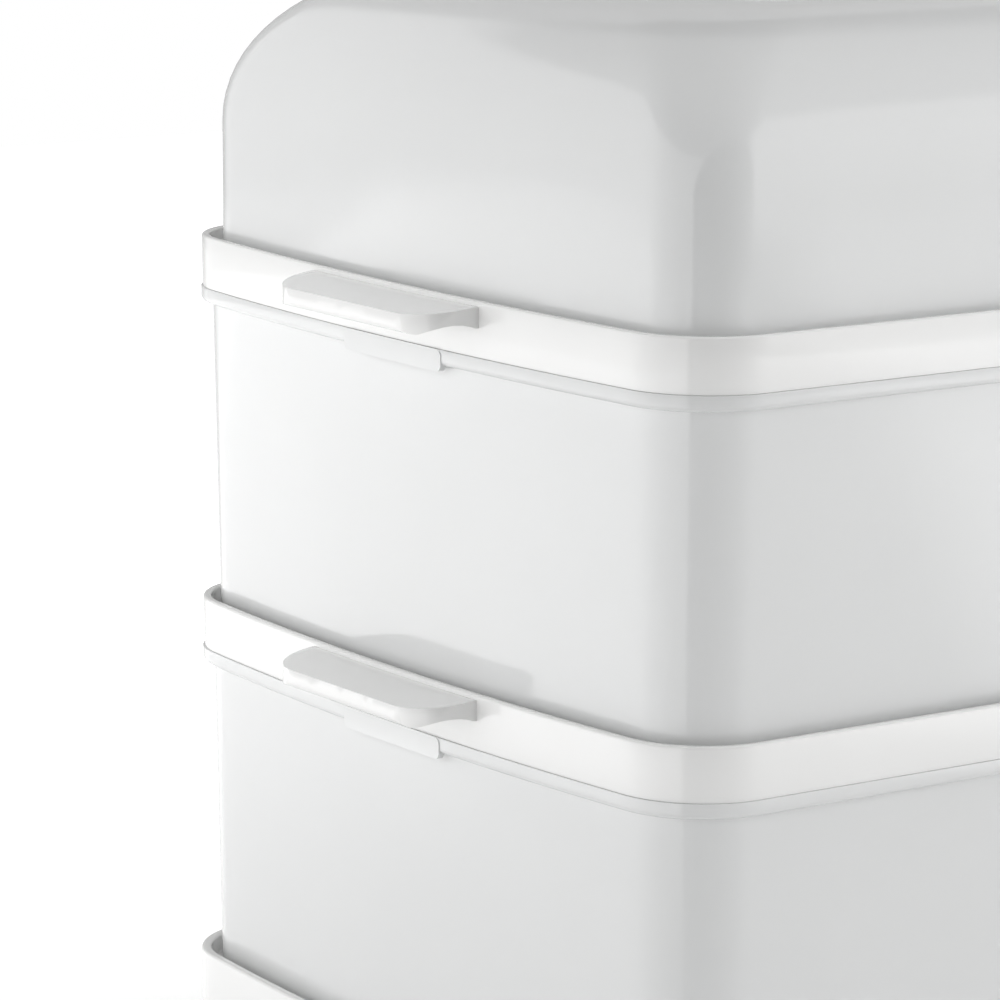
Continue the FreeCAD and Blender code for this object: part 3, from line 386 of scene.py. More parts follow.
def rounded_rectangle(half_x: float, half_y: float, radius: float, z: float,
                      steps: int = 10) -> list[Vector]:
    """Rectangle with round corners about the middle of the stack.

    Args:
        half_x: Half of the size along X.
        half_y: Half of the size along Y.
        radius: Corner radius.
        z: Height.
        steps: Points along each corner.

    Returns:
        Points in metres in the row frame, counter-clockwise.
    """
    points = []
    for turn, sx, sy in ((0, 1, 1), (90, -1, 1), (180, -1, -1), (270, 1, -1)):
        for i in range(steps + 1):
            a = math.radians(turn + 90.0 * i / steps)
            points.append(Vector((sx * (half_x - radius) + radius * math.cos(a),
                                  sy * (half_y - radius) + radius * math.sin(a)
                                  + PLAN.middle_y, z)) * MM)
    return points


def round_section(corners: Sequence[tuple[float, float, float]], steps: int = 4,
                  closed: bool = True) -> list[tuple[float, float]]:
    """Rounds the corners of a wall's cross-section.

    Args:
        corners: Offset, height and radius of each corner, in millimetres.
        steps: Points along each rounding, less one.
        closed: True where the last corner joins the first.

    Returns:
        Offsets and heights in the same order.
    """
    points = []
    count = len(corners)
    for i, (u, z, radius) in enumerate(corners):
        here = Vector((u, z))
        if radius <= 0.0 or (not closed and i in (0, count - 1)):
            points.append((u, z))
            continue
        before = Vector(corners[i - 1][:2])
        after = Vector(corners[(i + 1) % count][:2])
        into = (before - here).normalized()
        away = (after - here).normalized()
        half = into.angle(away) / 2.0
        reach = min(radius / math.tan(half), 0.49 * (before - here).length,
                    0.49 * (after - here).length)
        start = here + into * reach
        end = here + away * reach
        radius = reach * math.tan(half)
        centre = here + (into + away).normalized() * (radius / math.sin(half))
        for k in range(steps + 1):
            t = k / steps
            chord = start.lerp(end, t) - centre
            spot = centre + chord.normalized() * radius
            points.append((spot.x, spot.y))
    return points


def nothing_selected() -> None:
    """Leaves edit mode and deselects every object."""
    if bpy.context.object is not None and bpy.context.object.mode != "OBJECT":
        bpy.ops.object.mode_set(mode="OBJECT")
    bpy.ops.object.select_all(action="DESELECT")


def named(name: str) -> Piece:
    """Names the newest object and its mesh.

    Args:
        name: Name of both.

    Returns:
        The object.
    """
    piece = bpy.context.object
    piece.name = name
    piece.data.name = name
    return piece


def make_active(piece: Piece) -> None:
    """Selects one piece alone and makes it the active one.

    Args:
        piece: Piece that is worked on next.
    """
    nothing_selected()
    piece.select_set(True)
    bpy.context.view_layer.objects.active = piece


def numbered(piece: Piece) -> bmesh.types.BMesh:
    """Numbers and selects the points of a new piece, in edit mode.

    Args:
        piece: Piece in object mode.

    Returns:
        Its edit mesh.
    """
    bpy.ops.object.mode_set(mode="EDIT")
    bpy.ops.mesh.select_mode(type="VERT")
    shape = bmesh.from_edit_mesh(piece.data)
    order = shape.verts.layers.int.new("order")
    for i, vert in enumerate(shape.verts):
        vert[order] = i
    bpy.ops.mesh.select_all(action="SELECT")
    return shape


def put_selected(piece: Piece, points: Sequence[Vector]) -> None:
    """Moves the selected points onto new places, in edit mode.

    Args:
        piece: Piece with numbered points.
        points: New place of each number.
    """
    shape = bmesh.from_edit_mesh(piece.data)
    order = shape.verts.layers.int["order"]
    for vert in shape.verts:
        if vert.select:
            vert.co = points[vert[order]]
    bmesh.update_edit_mesh(piece.data)


def close_shape(piece: Piece, gap: float = 0.002) -> None:
    """Merges doubles, turns the faces outwards and leaves edit mode.

    Args:
        piece: Piece in edit mode. Not used.
        gap: Largest distance that is merged, in millimetres.
    """
    bpy.ops.mesh.select_all(action="SELECT")
    bpy.ops.mesh.remove_doubles(threshold=gap * MM)
    bpy.ops.mesh.normals_make_consistent(inside=False)
    bpy.ops.object.mode_set(mode="OBJECT")


def stacked_solid(name: str, loops: Sequence[Sequence[Vector]],
                  filled: bool = True) -> Piece:
    """Circle that is put on the first outline and extruded to each of the next ones.

    Args:
        name: Name of the piece.
        loops: Outlines with equal numbers of points.
        filled: True for a face at each end, False where the last outline is the first.

    Returns:
        The piece in object mode.
    """
    nothing_selected()
    bpy.ops.mesh.primitive_circle_add(vertices=len(loops[0]), radius=0.1,
                                      fill_type="NGON" if filled else "NOTHING")
    piece = named(name)
    numbered(piece)
    put_selected(piece, loops[0])
    for points in loops[1:]:
        bpy.ops.mesh.extrude_region_move()
        put_selected(piece, points)
    close_shape(piece)
    return piece


def closed_ring(name: str, section: Sequence[tuple[float, float]]) -> Piece:
    """Wall round the whole plan, from the offsets and heights of its closed cross-section."""
    loops = [PLAN.loop(u, z) for u, z in section]
    return stacked_solid(name, loops + [loops[0]], False)


def round_loop(centre: Vector, radius: float, along: Vector, count: int) -> list[Vector]:
    """Circle of points about an axis.

    Args:
        centre: Middle in millimetres about the stack's own middle.
        radius: Radius in millimetres.
        along: Axis of the circle.
        count: Number of points.

    Returns:
        Points in metres in the row frame.
    """
    turn = along.to_track_quat("Z", "Y")
    points = []
    for i in range(count):
        a = 2.0 * math.pi * i / count
        spoke = turn @ Vector((radius * math.cos(a), radius * math.sin(a), 0.0))
        points.append((centre + spoke + MIDDLE) * MM)
    return points


def turned_solid(name: str, centre: Vector, along: Vector,
                 profile: Sequence[tuple[float, float]], count: int = 48) -> Piece:
    """Solid of revolution with a flat face at each end.

    Args:
        name: Name of the piece.
        centre: Point on the axis, in millimetres about the stack's middle.
        along: Direction of the axis.
        profile: Radius and distance along the axis of each step.
        count: Points round the axis.

    Returns:
        The piece in object mode.
    """
    axis = along.normalized()
    loops = [round_loop(centre + axis * d, r, axis, count) for r, d in profile]
    return stacked_solid(name, loops)


def block(name: str, low: Sequence[float], high: Sequence[float]) -> Piece:
    """Rectangular solid between two corners.

    Args:
        name: Name of the piece.
        low: Lowest corner in millimetres about the stack's middle.
        high: Highest corner.

    Returns:
        The piece in object mode, with its place in its mesh.
    """
    nothing_selected()
    bpy.ops.mesh.primitive_cube_add(size=1.0)
    piece = named(name)
    size = Vector(high) - Vector(low)
    middle = (Vector(high) + Vector(low)) / 2.0 + MIDDLE
    bpy.ops.object.mode_set(mode="EDIT")
    bpy.ops.mesh.select_all(action="SELECT")
    bpy.ops.transform.resize(value=size * MM)
    bpy.ops.transform.translate(value=middle * MM)
    bpy.ops.object.mode_set(mode="OBJECT")
    return piece


def bevel_edges(piece: Piece, along: Vector, width: float, segments: int) -> None:
    """Rounds the edges of a piece that run along one direction.

    Args:
        piece: Piece in object mode.
        along: Direction of the edges.
        width: Radius in millimetres.
        segments: Steps of the rounding.
    """
    make_active(piece)
    bpy.ops.object.mode_set(mode="EDIT")
    bpy.ops.mesh.select_mode(type="EDGE")
    bpy.ops.mesh.select_all(action="DESELECT")
    shape = bmesh.from_edit_mesh(piece.data)
    for edge in shape.edges:
        run = (edge.verts[1].co - edge.verts[0].co).normalized()
        edge.select_set(abs(run.dot(along)) > 0.999)
    bmesh.update_edit_mesh(piece.data)
    bpy.ops.mesh.bevel(offset=width * MM, segments=segments, affect="EDGES")
    bpy.ops.object.mode_set(mode="OBJECT")


def soften(piece: Piece, width: float, segments: int = 3,
           angle: float = 35.0) -> None:
    """Rounds all the sharp edges of a piece with an applied bevel.

    Args:
        piece: Piece in object mode.
        width: Width of the rounding in millimetres.
        segments: Steps of the rounding.
        angle: Smallest angle that counts as sharp, in degrees.
    """
    make_active(piece)
    bevel = piece.modifiers.new("edge_round", "BEVEL")
    bevel.width = width * MM
    bevel.segments = segments
    bevel.limit_method = "ANGLE"
    bevel.angle_limit = math.radians(angle)
    bpy.ops.object.modifier_apply(modifier=bevel.name)


def combine(piece: Piece, other: Piece, way: Join) -> None:
    """Adds another closed piece, or takes it away, and deletes it.

    Args:
        piece: Piece that stays.
        other: Piece that is used up.
        way: How they are combined.
    """
    make_active(piece)
    mix = piece.modifiers.new("combine", "BOOLEAN")
    mix.operation = way.value
    mix.solver = "EXACT"
    mix.object = other
    bpy.ops.object.modifier_apply(modifier=mix.name)
    bpy.data.objects.remove(other)


def finished(piece: Piece, finish: Finish, body: Body,
             nodes: Sequence[str] = (), angle: float = 32.0) -> Piece:
    """Gives a finished piece its shading, material, body and the nodes it stands for.

    Args:
        piece: Piece in object mode.
        finish: Its material.
        body: CAD body that carries it.
        nodes: CAD nodes that it replaces.
        angle: Edges sharper than this stay sharp, in degrees.

    Returns:
        The same piece.
    """
    make_active(piece)
    bpy.ops.object.shade_smooth_by_angle(angle=math.radians(angle))
    piece.data.materials.clear()
    piece.data.materials.append(finish.material())
    if "order" in piece.data.attributes:
        piece.data.attributes.remove(piece.data.attributes["order"])
    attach(piece, body.value)
    if nodes:
        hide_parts(*nodes)
    LOG.info("%s rides on %s, %d faces", piece.name, body.value, len(piece.data.polygons))
    return piece


# Trays


@dataclass
class TrayPart:
    """What the rim and the bowl of a tray share.

    Attributes:
        name: Short name of the tray.
        body: Body that carries it.
        node: CAD node that the part replaces.
        top: Height of the rim's top edge.
    """

    name: str
    body: Body
    node: str
    top: float
    band_height: float = 14.1
    band_draft: float = 0.3
    band_wall: float = 2.2
    seat_depth: float = 5.0
    seat_thickness: float = 2.0


@dataclass
class TrayRim(TrayPart):
    """White rim of a tray: a band with a seat inside and a handle plate on each end."""

    seat_inset: float = 8.5
    plate_width: float = 75.0
    plate_reach: float = 15.5
    plate_corner: float = 14.0
    plate_drop: float = 1.2
    plate_slope: float = 0.12
    plate_root: float = 5.4
    plate_neck: float = 3.7
    plate_neck_share: float = 0.32
    plate_lip: float = 5.0
    plate_lip_round: float = 2.0
    plate_points: int = 25
    corner_turns: tuple[int, ...] = (0, 10, 20, 30, 40, 49, 57, 64, 70, 75, 80, 85, 90)
    edge_round: float = 0.5
    merge_gap: float = 0.03

    def band(self) -> Piece:
        """Band with the seat that the next tray stands on.

        Returns:
            The band as a closed ring.
        """
        low = self.top - self.band_height
        seat = self.top - self.seat_depth
        under = seat - self.seat_thickness
        wall = -self.band_wall
        section = round_section([
            (-self.band_draft, low, 0.12), (0.0, self.top, 0.7), (wall, self.top, 0.6),
            (wall, seat, 0.5), (-self.seat_inset, seat, 0.5), (-self.seat_inset, under, 0.4),
            (wall, under, 0.4), (wall, low, 0.3)])
        return closed_ring(self.name + "_rim_band", section)

    def under_side(self, u: float) -> float:
        """Height of the plate's hollow under side.

        Args:
            u: Distance from the band's face.

        Returns:
            Height below the root of the plate's top, as a negative number.
        """
        neck_u = self.plate_neck_share * self.plate_reach
        lip_u = self.plate_reach - self.plate_lip_round
        tip_top = -self.plate_slope * self.plate_reach
        spots = [(0.0, -self.plate_root), (neck_u, -self.plate_slope * neck_u - self.plate_neck),
                 (lip_u, tip_top - self.plate_lip)]
        if u > lip_u:
            rise = self.plate_lip_round - math.sqrt(
                max(0.0, self.plate_lip_round ** 2 - (u - lip_u) ** 2))
            return tip_top - self.plate_lip + rise
        if u < 0.0:
            return -self.plate_root
        total = 0.0
        for i, (x, y) in enumerate(spots):
            (a, _), (b, _) = spots[:i] + spots[i + 1:]
            total += y * (u - a) * (u - b) / ((x - a) * (x - b))
        return total

    def plate(self, side: int) -> Piece:
        """Handle plate with its hollow under side and rounded lip.

        Args:
            side: 1 for the +X end, -1 for the -X end.

        Returns:
            The plate as a closed solid.
        """
        half = self.plate_width / 2.0
        rows = [(-self.band_wall / 2.0, half), (0.0, half)]
        for a in map(math.radians, self.corner_turns):
            rows.append((self.plate_reach - self.plate_corner + self.plate_corner * math.sin(a),
                         half - self.plate_corner + self.plate_corner * math.cos(a)))
        last = self.plate_points - 1
        nothing_selected()
        bpy.ops.mesh.primitive_grid_add(x_subdivisions=len(rows) - 1, y_subdivisions=last,
                                        size=1.0)
        piece = named(self.name + "_handle_plate_" + ("right" if side > 0 else "left"))
        places = [(round((vert.co.x + 0.5) * (len(rows) - 1)), round((vert.co.y + 0.5) * last))
                  for vert in numbered(piece).verts]

        def sheet(lower: bool) -> list[Vector]:
            """Points of one side of the plate, in the order of the grid.

            Args:
                lower: True for the under side.

            Returns:
                Points in metres in the row frame.
            """
            points = []
            for row, step in places:
                u, width = rows[row]
                y = width * (2.0 * step / last - 1.0)
                rise = self.under_side(u) if lower else -self.plate_slope * max(u, 0.0)
                points.append(Vector((side * (PLAN.length / 2.0 + u), y + PLAN.middle_y,
                                      self.top - self.plate_drop + rise)) * MM)
            return points

        put_selected(piece, sheet(False))
        bpy.ops.mesh.extrude_region_move()
        put_selected(piece, sheet(True))
        close_shape(piece)
        soften(piece, self.edge_round, angle=40.0)
        bpy.ops.object.mode_set(mode="EDIT")
        close_shape(piece, self.merge_gap)
        return piece

    def build(self) -> list[Piece]:
        """Builds and dresses the rim.

        Returns:
            Its pieces.
        """
        pieces = [finished(self.band(), WHITE_ABS, self.body, [self.node])]
        return pieces + [finished(self.plate(side), WHITE_ABS, self.body)
                         for side in (-1, 1)]


@dataclass
class TrayBowl(TrayPart):
    """Clear bowl under a rim, with its flange, foot, floor lip and end tabs."""

    tier_pitch: float = 100.0
    joint_gap: float = 0.1
    wall: float = 2.0
    top_inset: float = 3.05
    foot_inset: float = 4.9
    flange_height: float = 4.2
    flange_proud: float = 0.45
    flange_round: float = 1.9
    lip_inset: float = 14.0
    lip_thickness: float = 2.0
    tab_width: float = 44.0
    tab_drop: float = 1.5
    tab_thickness: float = 1.8

    def flange_span(self) -> tuple[float, float]:
        """Heights of the flange's lower and upper face."""
        top = self.top - self.band_height - self.joint_gap / 4.0
        return top - self.flange_height, top

    def shell(self) -> Piece:
        """Wall, flange, upstand and floor lip as one closed ring.

        Returns:
            The piece in object mode.
        """
        low, high = self.flange_span()
        upstand = self.top - self.seat_depth - self.seat_thickness - self.joint_gap
        foot = self.top - self.tier_pitch - self.seat_depth
        lip = self.top - self.tier_pitch
        slope = (self.foot_inset - self.top_inset) / (low - foot)
        face = self.flange_proud - self.band_draft
        joint = -self.band_wall - self.joint_gap
        under = lip - self.lip_thickness

        def inner(z: float) -> float:
            """Offset of the wall's inner face at a height."""
            return -(self.top_inset + self.wall - slope * (z - low))

        section = round_section([
            (-self.foot_inset, foot, 0.4), (-self.top_inset, low, 0.4),
            (face, low, self.flange_round), (face, high, 0.12),
            (joint, high, 0.2), (joint, upstand, 0.2), (inner(upstand), upstand, 0.4),
            (inner(lip), lip, 0.7), (-self.lip_inset, lip, 0.5), (-self.lip_inset, under, 0.5),
            (inner(under), under, 0.5), (inner(foot), foot, 0.4)], steps=5)
        return closed_ring(self.name + "_bowl", section)

    def tab(self, side: int) -> Piece:
        """Clear tab in the middle of one end, under the handle plate.

        Args:
            side: 1 for the +X end, -1 for the -X end.

        Returns:
            The piece in object mode.
        """
        low, high = self.flange_span()
        outer = PLAN.length / 2.0 - self.band_draft + self.flange_proud
        xs = sorted((side * outer, side * (outer - self.tab_thickness)))
        tab = block(self.name + "_tab", (xs[0], -self.tab_width / 2.0, low - self.tab_drop),
                    (xs[1], self.tab_width / 2.0, high))
        bevel_edges(tab, X_AXIS, self.flange_round, 6)
        bevel_edges(tab, Z_AXIS, self.tab_thickness / 2.0, 4)
        return tab

    def build(self) -> list[Piece]:
        """Builds and dresses the bowl.

        Returns:
            Its pieces.
        """
        bowl = self.shell()
        for side in (-1, 1):
            combine(bowl, self.tab(side), Join.ADD)
        return [finished(bowl, CLEAR_SAN, self.body, [self.node])]


@dataclass
class Lid:
    """Clear lid: skirt, round shoulder, flat crown with a dish, six vents."""

    foot_z: float = 300.0
    top_z: float = 379.0
    wall: float = 2.0
    inset: float = 5.8
    foot_width: float = 2.6
    foot_height: float = 2.0
    shoulder: float = 43.0
    corner_growth: float = 0.45
    dish_inset: float = 66.0
    dish_floor_inset: float = 80.0
    dish_depth: float = 8.0
    dish_corner: float = 30.0
    dish_narrowing: float = 0.2
    dish_round: float = 4.0
    crown_ring: float = 12.0
    floor_ring: float = 10.0
    skirt_start: float = 4.0
    vent_diameter: float = 3.6
    vent_spacing: float = 12.0
    drill_length: float = 6.0
    shoulder_steps: int = 18

    def skin(self, inset: float, top: float, shoulder: float, grow: float) -> list[list[Vector]]:
        """Outlines of one face of the lid, from the skirt's top to the dish floor.

        Args:
            inset: How far inside the rim's face the skirt runs.
            top: Height of the flat crown.
            shoulder: Radius of the shoulder.
            grow: How much wider the dish is.

        Returns:
            The outlines in order.
        """
        corner = PLAN.corner - inset
        level = top - shoulder
        loops = []
        for i in range(self.shoulder_steps + 1):
            a = math.radians(90.0 * i / self.shoulder_steps)
            into = shoulder * (1.0 - math.cos(a))
            loops.append(PLAN.loop(-inset - into, level + shoulder * math.sin(a),
                                   corner + self.corner_growth * into))
        edge = self.dish_inset - grow
        floor = self.dish_floor_inset - grow
        deep = top - self.dish_depth
        dish = round_section([
            (edge - self.crown_ring, top, 0.0), (edge, top, self.dish_round),
            (floor, deep, self.dish_round), (floor + self.floor_ring, deep, 0.0)],
            steps=5, closed=False)
        for u, z in dish:
            share = min(1.0, max(0.0, (u - edge) / (floor - edge)))
            corner = self.dish_corner * (1.0 - self.dish_narrowing * share)
            loops.append(PLAN.loop(-u, z, corner))
        return loops

    def build(self) -> list[Piece]:
        """Builds and dresses the lid.

        Returns:
            Its pieces.
        """
        outer = self.skin(self.inset, self.top_z, self.shoulder, 0.0)
        inner = self.skin(self.inset + self.wall, self.top_z - self.wall,
                          self.shoulder - self.wall, self.wall)
        inside = -self.inset - self.wall
        edge = -self.inset + self.foot_width
        foot_top = self.foot_z + self.foot_height
        start = foot_top + self.skirt_start
        foot = round_section([
            (inside, start, 0.0), (inside, self.foot_z, 0.5), (edge, self.foot_z, 0.6),
            (edge, foot_top, 0.6), (-self.inset, foot_top, 0.5), (-self.inset, start, 0.0)],
            steps=4, closed=False)
        loops = list(reversed(inner)) + [PLAN.loop(u, z) for u, z in foot] + outer
        lid = stacked_solid("lid_shell", loops)
        half_way = (self.dish_inset - self.inset - self.shoulder) / 2.0
        x = PLAN.length / 2.0 - self.dish_inset + half_way
        r = self.vent_diameter / 2.0
        for side in (-1, 1):
            for row in (-1, 0, 1):
                low = Vector((side * x, row * self.vent_spacing, self.top_z - 2.0 * self.wall))
                drill = turned_solid("vent_drill", low, Z_AXIS,
                                     [(r, 0.0), (r, self.drill_length)], count=20)
                combine(lid, drill, Join.TAKE_AWAY)
        return [finished(lid, CLEAR_SAN, Body.LID, ["lid_dome"])]


@dataclass
class LidHandle:
    """White handle on the lid: a waisted grip with a softly rounded top.

    Attributes:
        levels: Inset of the side at each share of the height.
        side_shares: Shares of the height at which the side gets an outline.
        top_round: How far the rounded top runs inwards.
        top_steps: Outlines of that rounding.
        least_corner: Smallest corner radius.
    """

    floor_z: float = 371.0
    length: float = 92.0
    width: float = 44.0
    height: float = 25.0
    corner: float = 17.0
    levels: tuple[tuple[float, float], ...] = (
        (0.0, 0.0), (1.6, 0.12), (5.0, 0.45), (2.2, 0.78), (0.6, 0.90), (1.0, 0.96), (3.4, 1.0))
    side_shares: tuple[float, ...] = (0.0, 0.04, 0.08, 0.12, 0.2, 0.3, 0.38, 0.45, 0.52, 0.6,
                                      0.7, 0.78, 0.84, 0.88, 0.91, 0.935)
    top_round: float = 3.2
    top_steps: int = 6
    least_corner: float = 2.0

    def side_line(self, share: float) -> float:
        """Inset of the grip's side, smooth through the levels.

        Args:
            share: Height as a share of the whole.

        Returns:
            Inset in millimetres.
        """
        spots = self.levels
        last = len(spots) - 1
        k = next((k for k in range(last) if share <= spots[k + 1][1]), last - 1)
        (i1, s1), (i2, s2) = spots[k], spots[k + 1]
        i0, s0 = spots[max(0, k - 1)]
        i3, s3 = spots[min(last, k + 2)]
        t = (share - s1) / (s2 - s1)
        m1 = (i2 - i0) / max(1e-6, s2 - s0) * (s2 - s1)
        m2 = (i3 - i1) / max(1e-6, s3 - s1) * (s2 - s1)
        return ((2 * t ** 3 - 3 * t ** 2 + 1) * i1 + (t ** 3 - 2 * t ** 2 + t) * m1
                + (-2 * t ** 3 + 3 * t ** 2) * i2 + (t ** 3 - t ** 2) * m2)

    def build(self) -> list[Piece]:
        """Builds and dresses the handle.

        Returns:
            Its pieces.
        """
        levels = [(max(0.0, self.side_line(share)), self.floor_z + share * self.height)
                  for share in self.side_shares]
        last = self.side_shares[-1]
        start = self.side_line(last)
        drop = (1.0 - last) * self.height
        for k in range(1, self.top_steps + 1):
            a = math.radians(90.0 * k / self.top_steps)
            levels.append((start + self.top_round * (1.0 - math.cos(a)),
                           self.floor_z + self.height - drop * (1.0 - math.sin(a))))
        loops = [rounded_rectangle(self.length / 2.0 - inset, self.width / 2.0 - inset,
                                   max(self.least_corner, self.corner - inset), z)
                 for inset, z in levels]
        handle = stacked_solid("lid_handle_grip", loops)
        return [finished(handle, WHITE_ABS, Body.LID, ["lid_handle"], angle=40.0)]


# Base


@dataclass
class BaseHousing:
    """White housing of the base with its rim, seat, panel pocket and openings."""

    low: float = 5.0
    top: float = 105.0
    proud: float = 0.9
    wall: float = 2.8
    bottom_round: float = 8.0
    seat_depth: float = 5.0
    seat_thickness: float = 2.0
    seat_inset: float = 9.0
    bottom_inset: float = 14.0
    post_y: float = 60.0
    post_x: float = 145.16
    post_diameter: float = 8.0
    post_top: float = 95.5
    boss_x: float = 110.0
    boss_inset: float = 8.0
    boss_diameter: float = 9.0
    boss_height: float = 15.0
    screw_hole: float = 3.2
    hole_depth: float = 12.0
    panel_middle_z: float = 60.0
    pocket_half: tuple[float, float] = (80.2, 30.2)
    pocket_depth: float = 1.2
    pocket_corner: float = 8.0
    window_half: tuple[float, float] = (74.0, 24.0)
    window_corner: float = 5.0
    end_face: float = 138.2
    gauge_low: tuple[float, float] = (-62.15, 47.85)
    gauge_high: tuple[float, float] = (-49.85, 84.15)
    gauge_reach: float = 165.0
    filler_low: tuple[float, float] = (-30.15, 49.85)
    filler_high: tuple[float, float] = (30.15, 84.15)
    filler_reach: float = 175.0
    filler_corner: float = 6.0
    inlet: tuple[float, float, float] = (-90.0, 98.0, 25.0)
    inlet_diameter: float = 14.3
    inlet_length: float = 25.0
    post_edge: float = 0.4
    boss_edge: float = 0.3
    post_foot: float = 0.5
    cutter_reach: float = 5.0
    past_wall: float = 1.0

    def shell(self) -> Piece:
        """Wall, rim, seat and bottom flange as one closed ring.

        Returns:
            The piece in object mode.
        """
        inner = self.proud - self.wall
        seat = self.top - self.seat_depth
        under = seat - self.seat_thickness
        flange = self.low + self.wall
        inside_round = self.bottom_round - self.wall
        section = round_section([
            (-self.bottom_inset, self.low, 0.3), (self.proud, self.low, self.bottom_round),
            (self.proud, self.top, 0.8), (inner, self.top, 0.7), (inner, seat, 0.5),
            (-self.seat_inset, seat, 0.5), (-self.seat_inset, under, 0.4),
            (inner, under, 0.4), (inner, flange, inside_round),
            (-self.bottom_inset, flange, 0.3)], steps=6)
        return closed_ring("base_shell", section)

    def openings(self, shell: Piece) -> None:
        """Cuts the panel pocket, its window, and the holes for filler, gauge and cord inlet.

        Args:
            shell: Housing that gets them.
        """
        front = -PLAN.depth / 2.0 - self.proud
        x, z = self.pocket_half
        wx, wz = self.window_half
        mid = self.panel_middle_z
        cuts = (
            ("pocket", (-x, front - self.cutter_reach, mid - z),
             (x, front + self.pocket_depth, mid + z), Y_AXIS, self.pocket_corner, 8),
            ("window", (-wx, front, mid - wz),
             (wx, front + self.wall + self.past_wall, mid + wz), Y_AXIS, self.window_corner, 6),
            ("gauge_hole", (self.end_face, *self.gauge_low),
             (self.gauge_reach, *self.gauge_high), X_AXIS, 0.0, 0),
            ("filler_hole", (self.end_face, *self.filler_low),
             (self.filler_reach, *self.filler_high), X_AXIS, self.filler_corner, 6))
        for name, low, high, along, corner, steps in cuts:
            cutter = block(name, low, high)
            if corner:
                bevel_edges(cutter, along, corner, steps)
            combine(shell, cutter, Join.TAKE_AWAY)
        r = self.inlet_diameter / 2.0
        drill = turned_solid("inlet_hole", Vector(self.inlet), Y_AXIS,
                             [(r, 0.0), (r, self.inlet_length)], count=40)
        combine(shell, drill, Join.TAKE_AWAY)

    def pillars(self) -> list[Piece]:
        """Screw posts and bosses inside the housing.

        Returns:
            One piece for each, with its screw hole.
        """
        bore = self.screw_hole / 2.0
        top = self.low + self.wall + self.boss_height
        y = PLAN.depth / 2.0 - self.boss_inset
        end = PLAN.length / 2.0 - self.boss_inset
        r = self.boss_diameter / 2.0
        boss = [(bore, self.low), (bore + self.boss_edge, self.low), (r, self.low),
                (r, top - self.post_edge), (r - self.post_edge, top), (bore, top),
                (bore, self.low + self.hole_depth)]
        made = [("boss", x, y_place, boss) for x, y_place in (
            (-self.boss_x, -y), (self.boss_x, -y), (-self.boss_x, y), (self.boss_x, y),
            (-end, 0.0), (end, 0.0))]
        r = self.post_diameter / 2.0
        post = [(bore, self.post_top - self.hole_depth), (bore, self.post_top),
                (r - self.post_edge, self.post_top), (r, self.post_top - self.post_edge),
                (r, self.low + self.post_foot)]
        made += [("post", sx * self.post_x, sy * self.post_y, post)
                 for sx in (-1, 1) for sy in (-1, 1)]
        return [turned_solid("housing_%s_%d" % (kind, k + 1), Vector((x, y_place, 0.0)),
                             Z_AXIS, profile, count=28)
                for k, (kind, x, y_place, profile) in enumerate(made)]

    def build(self) -> list[Piece]:
        """Builds and dresses the housing.

        Returns:
            Its pieces.
        """
        shell = self.shell()
        self.openings(shell)
        pieces = [finished(shell, WHITE_ABS, Body.BASE, ["base_housing"])]
        return pieces + [finished(pillar, WHITE_ABS, Body.BASE)
                         for pillar in self.pillars()]


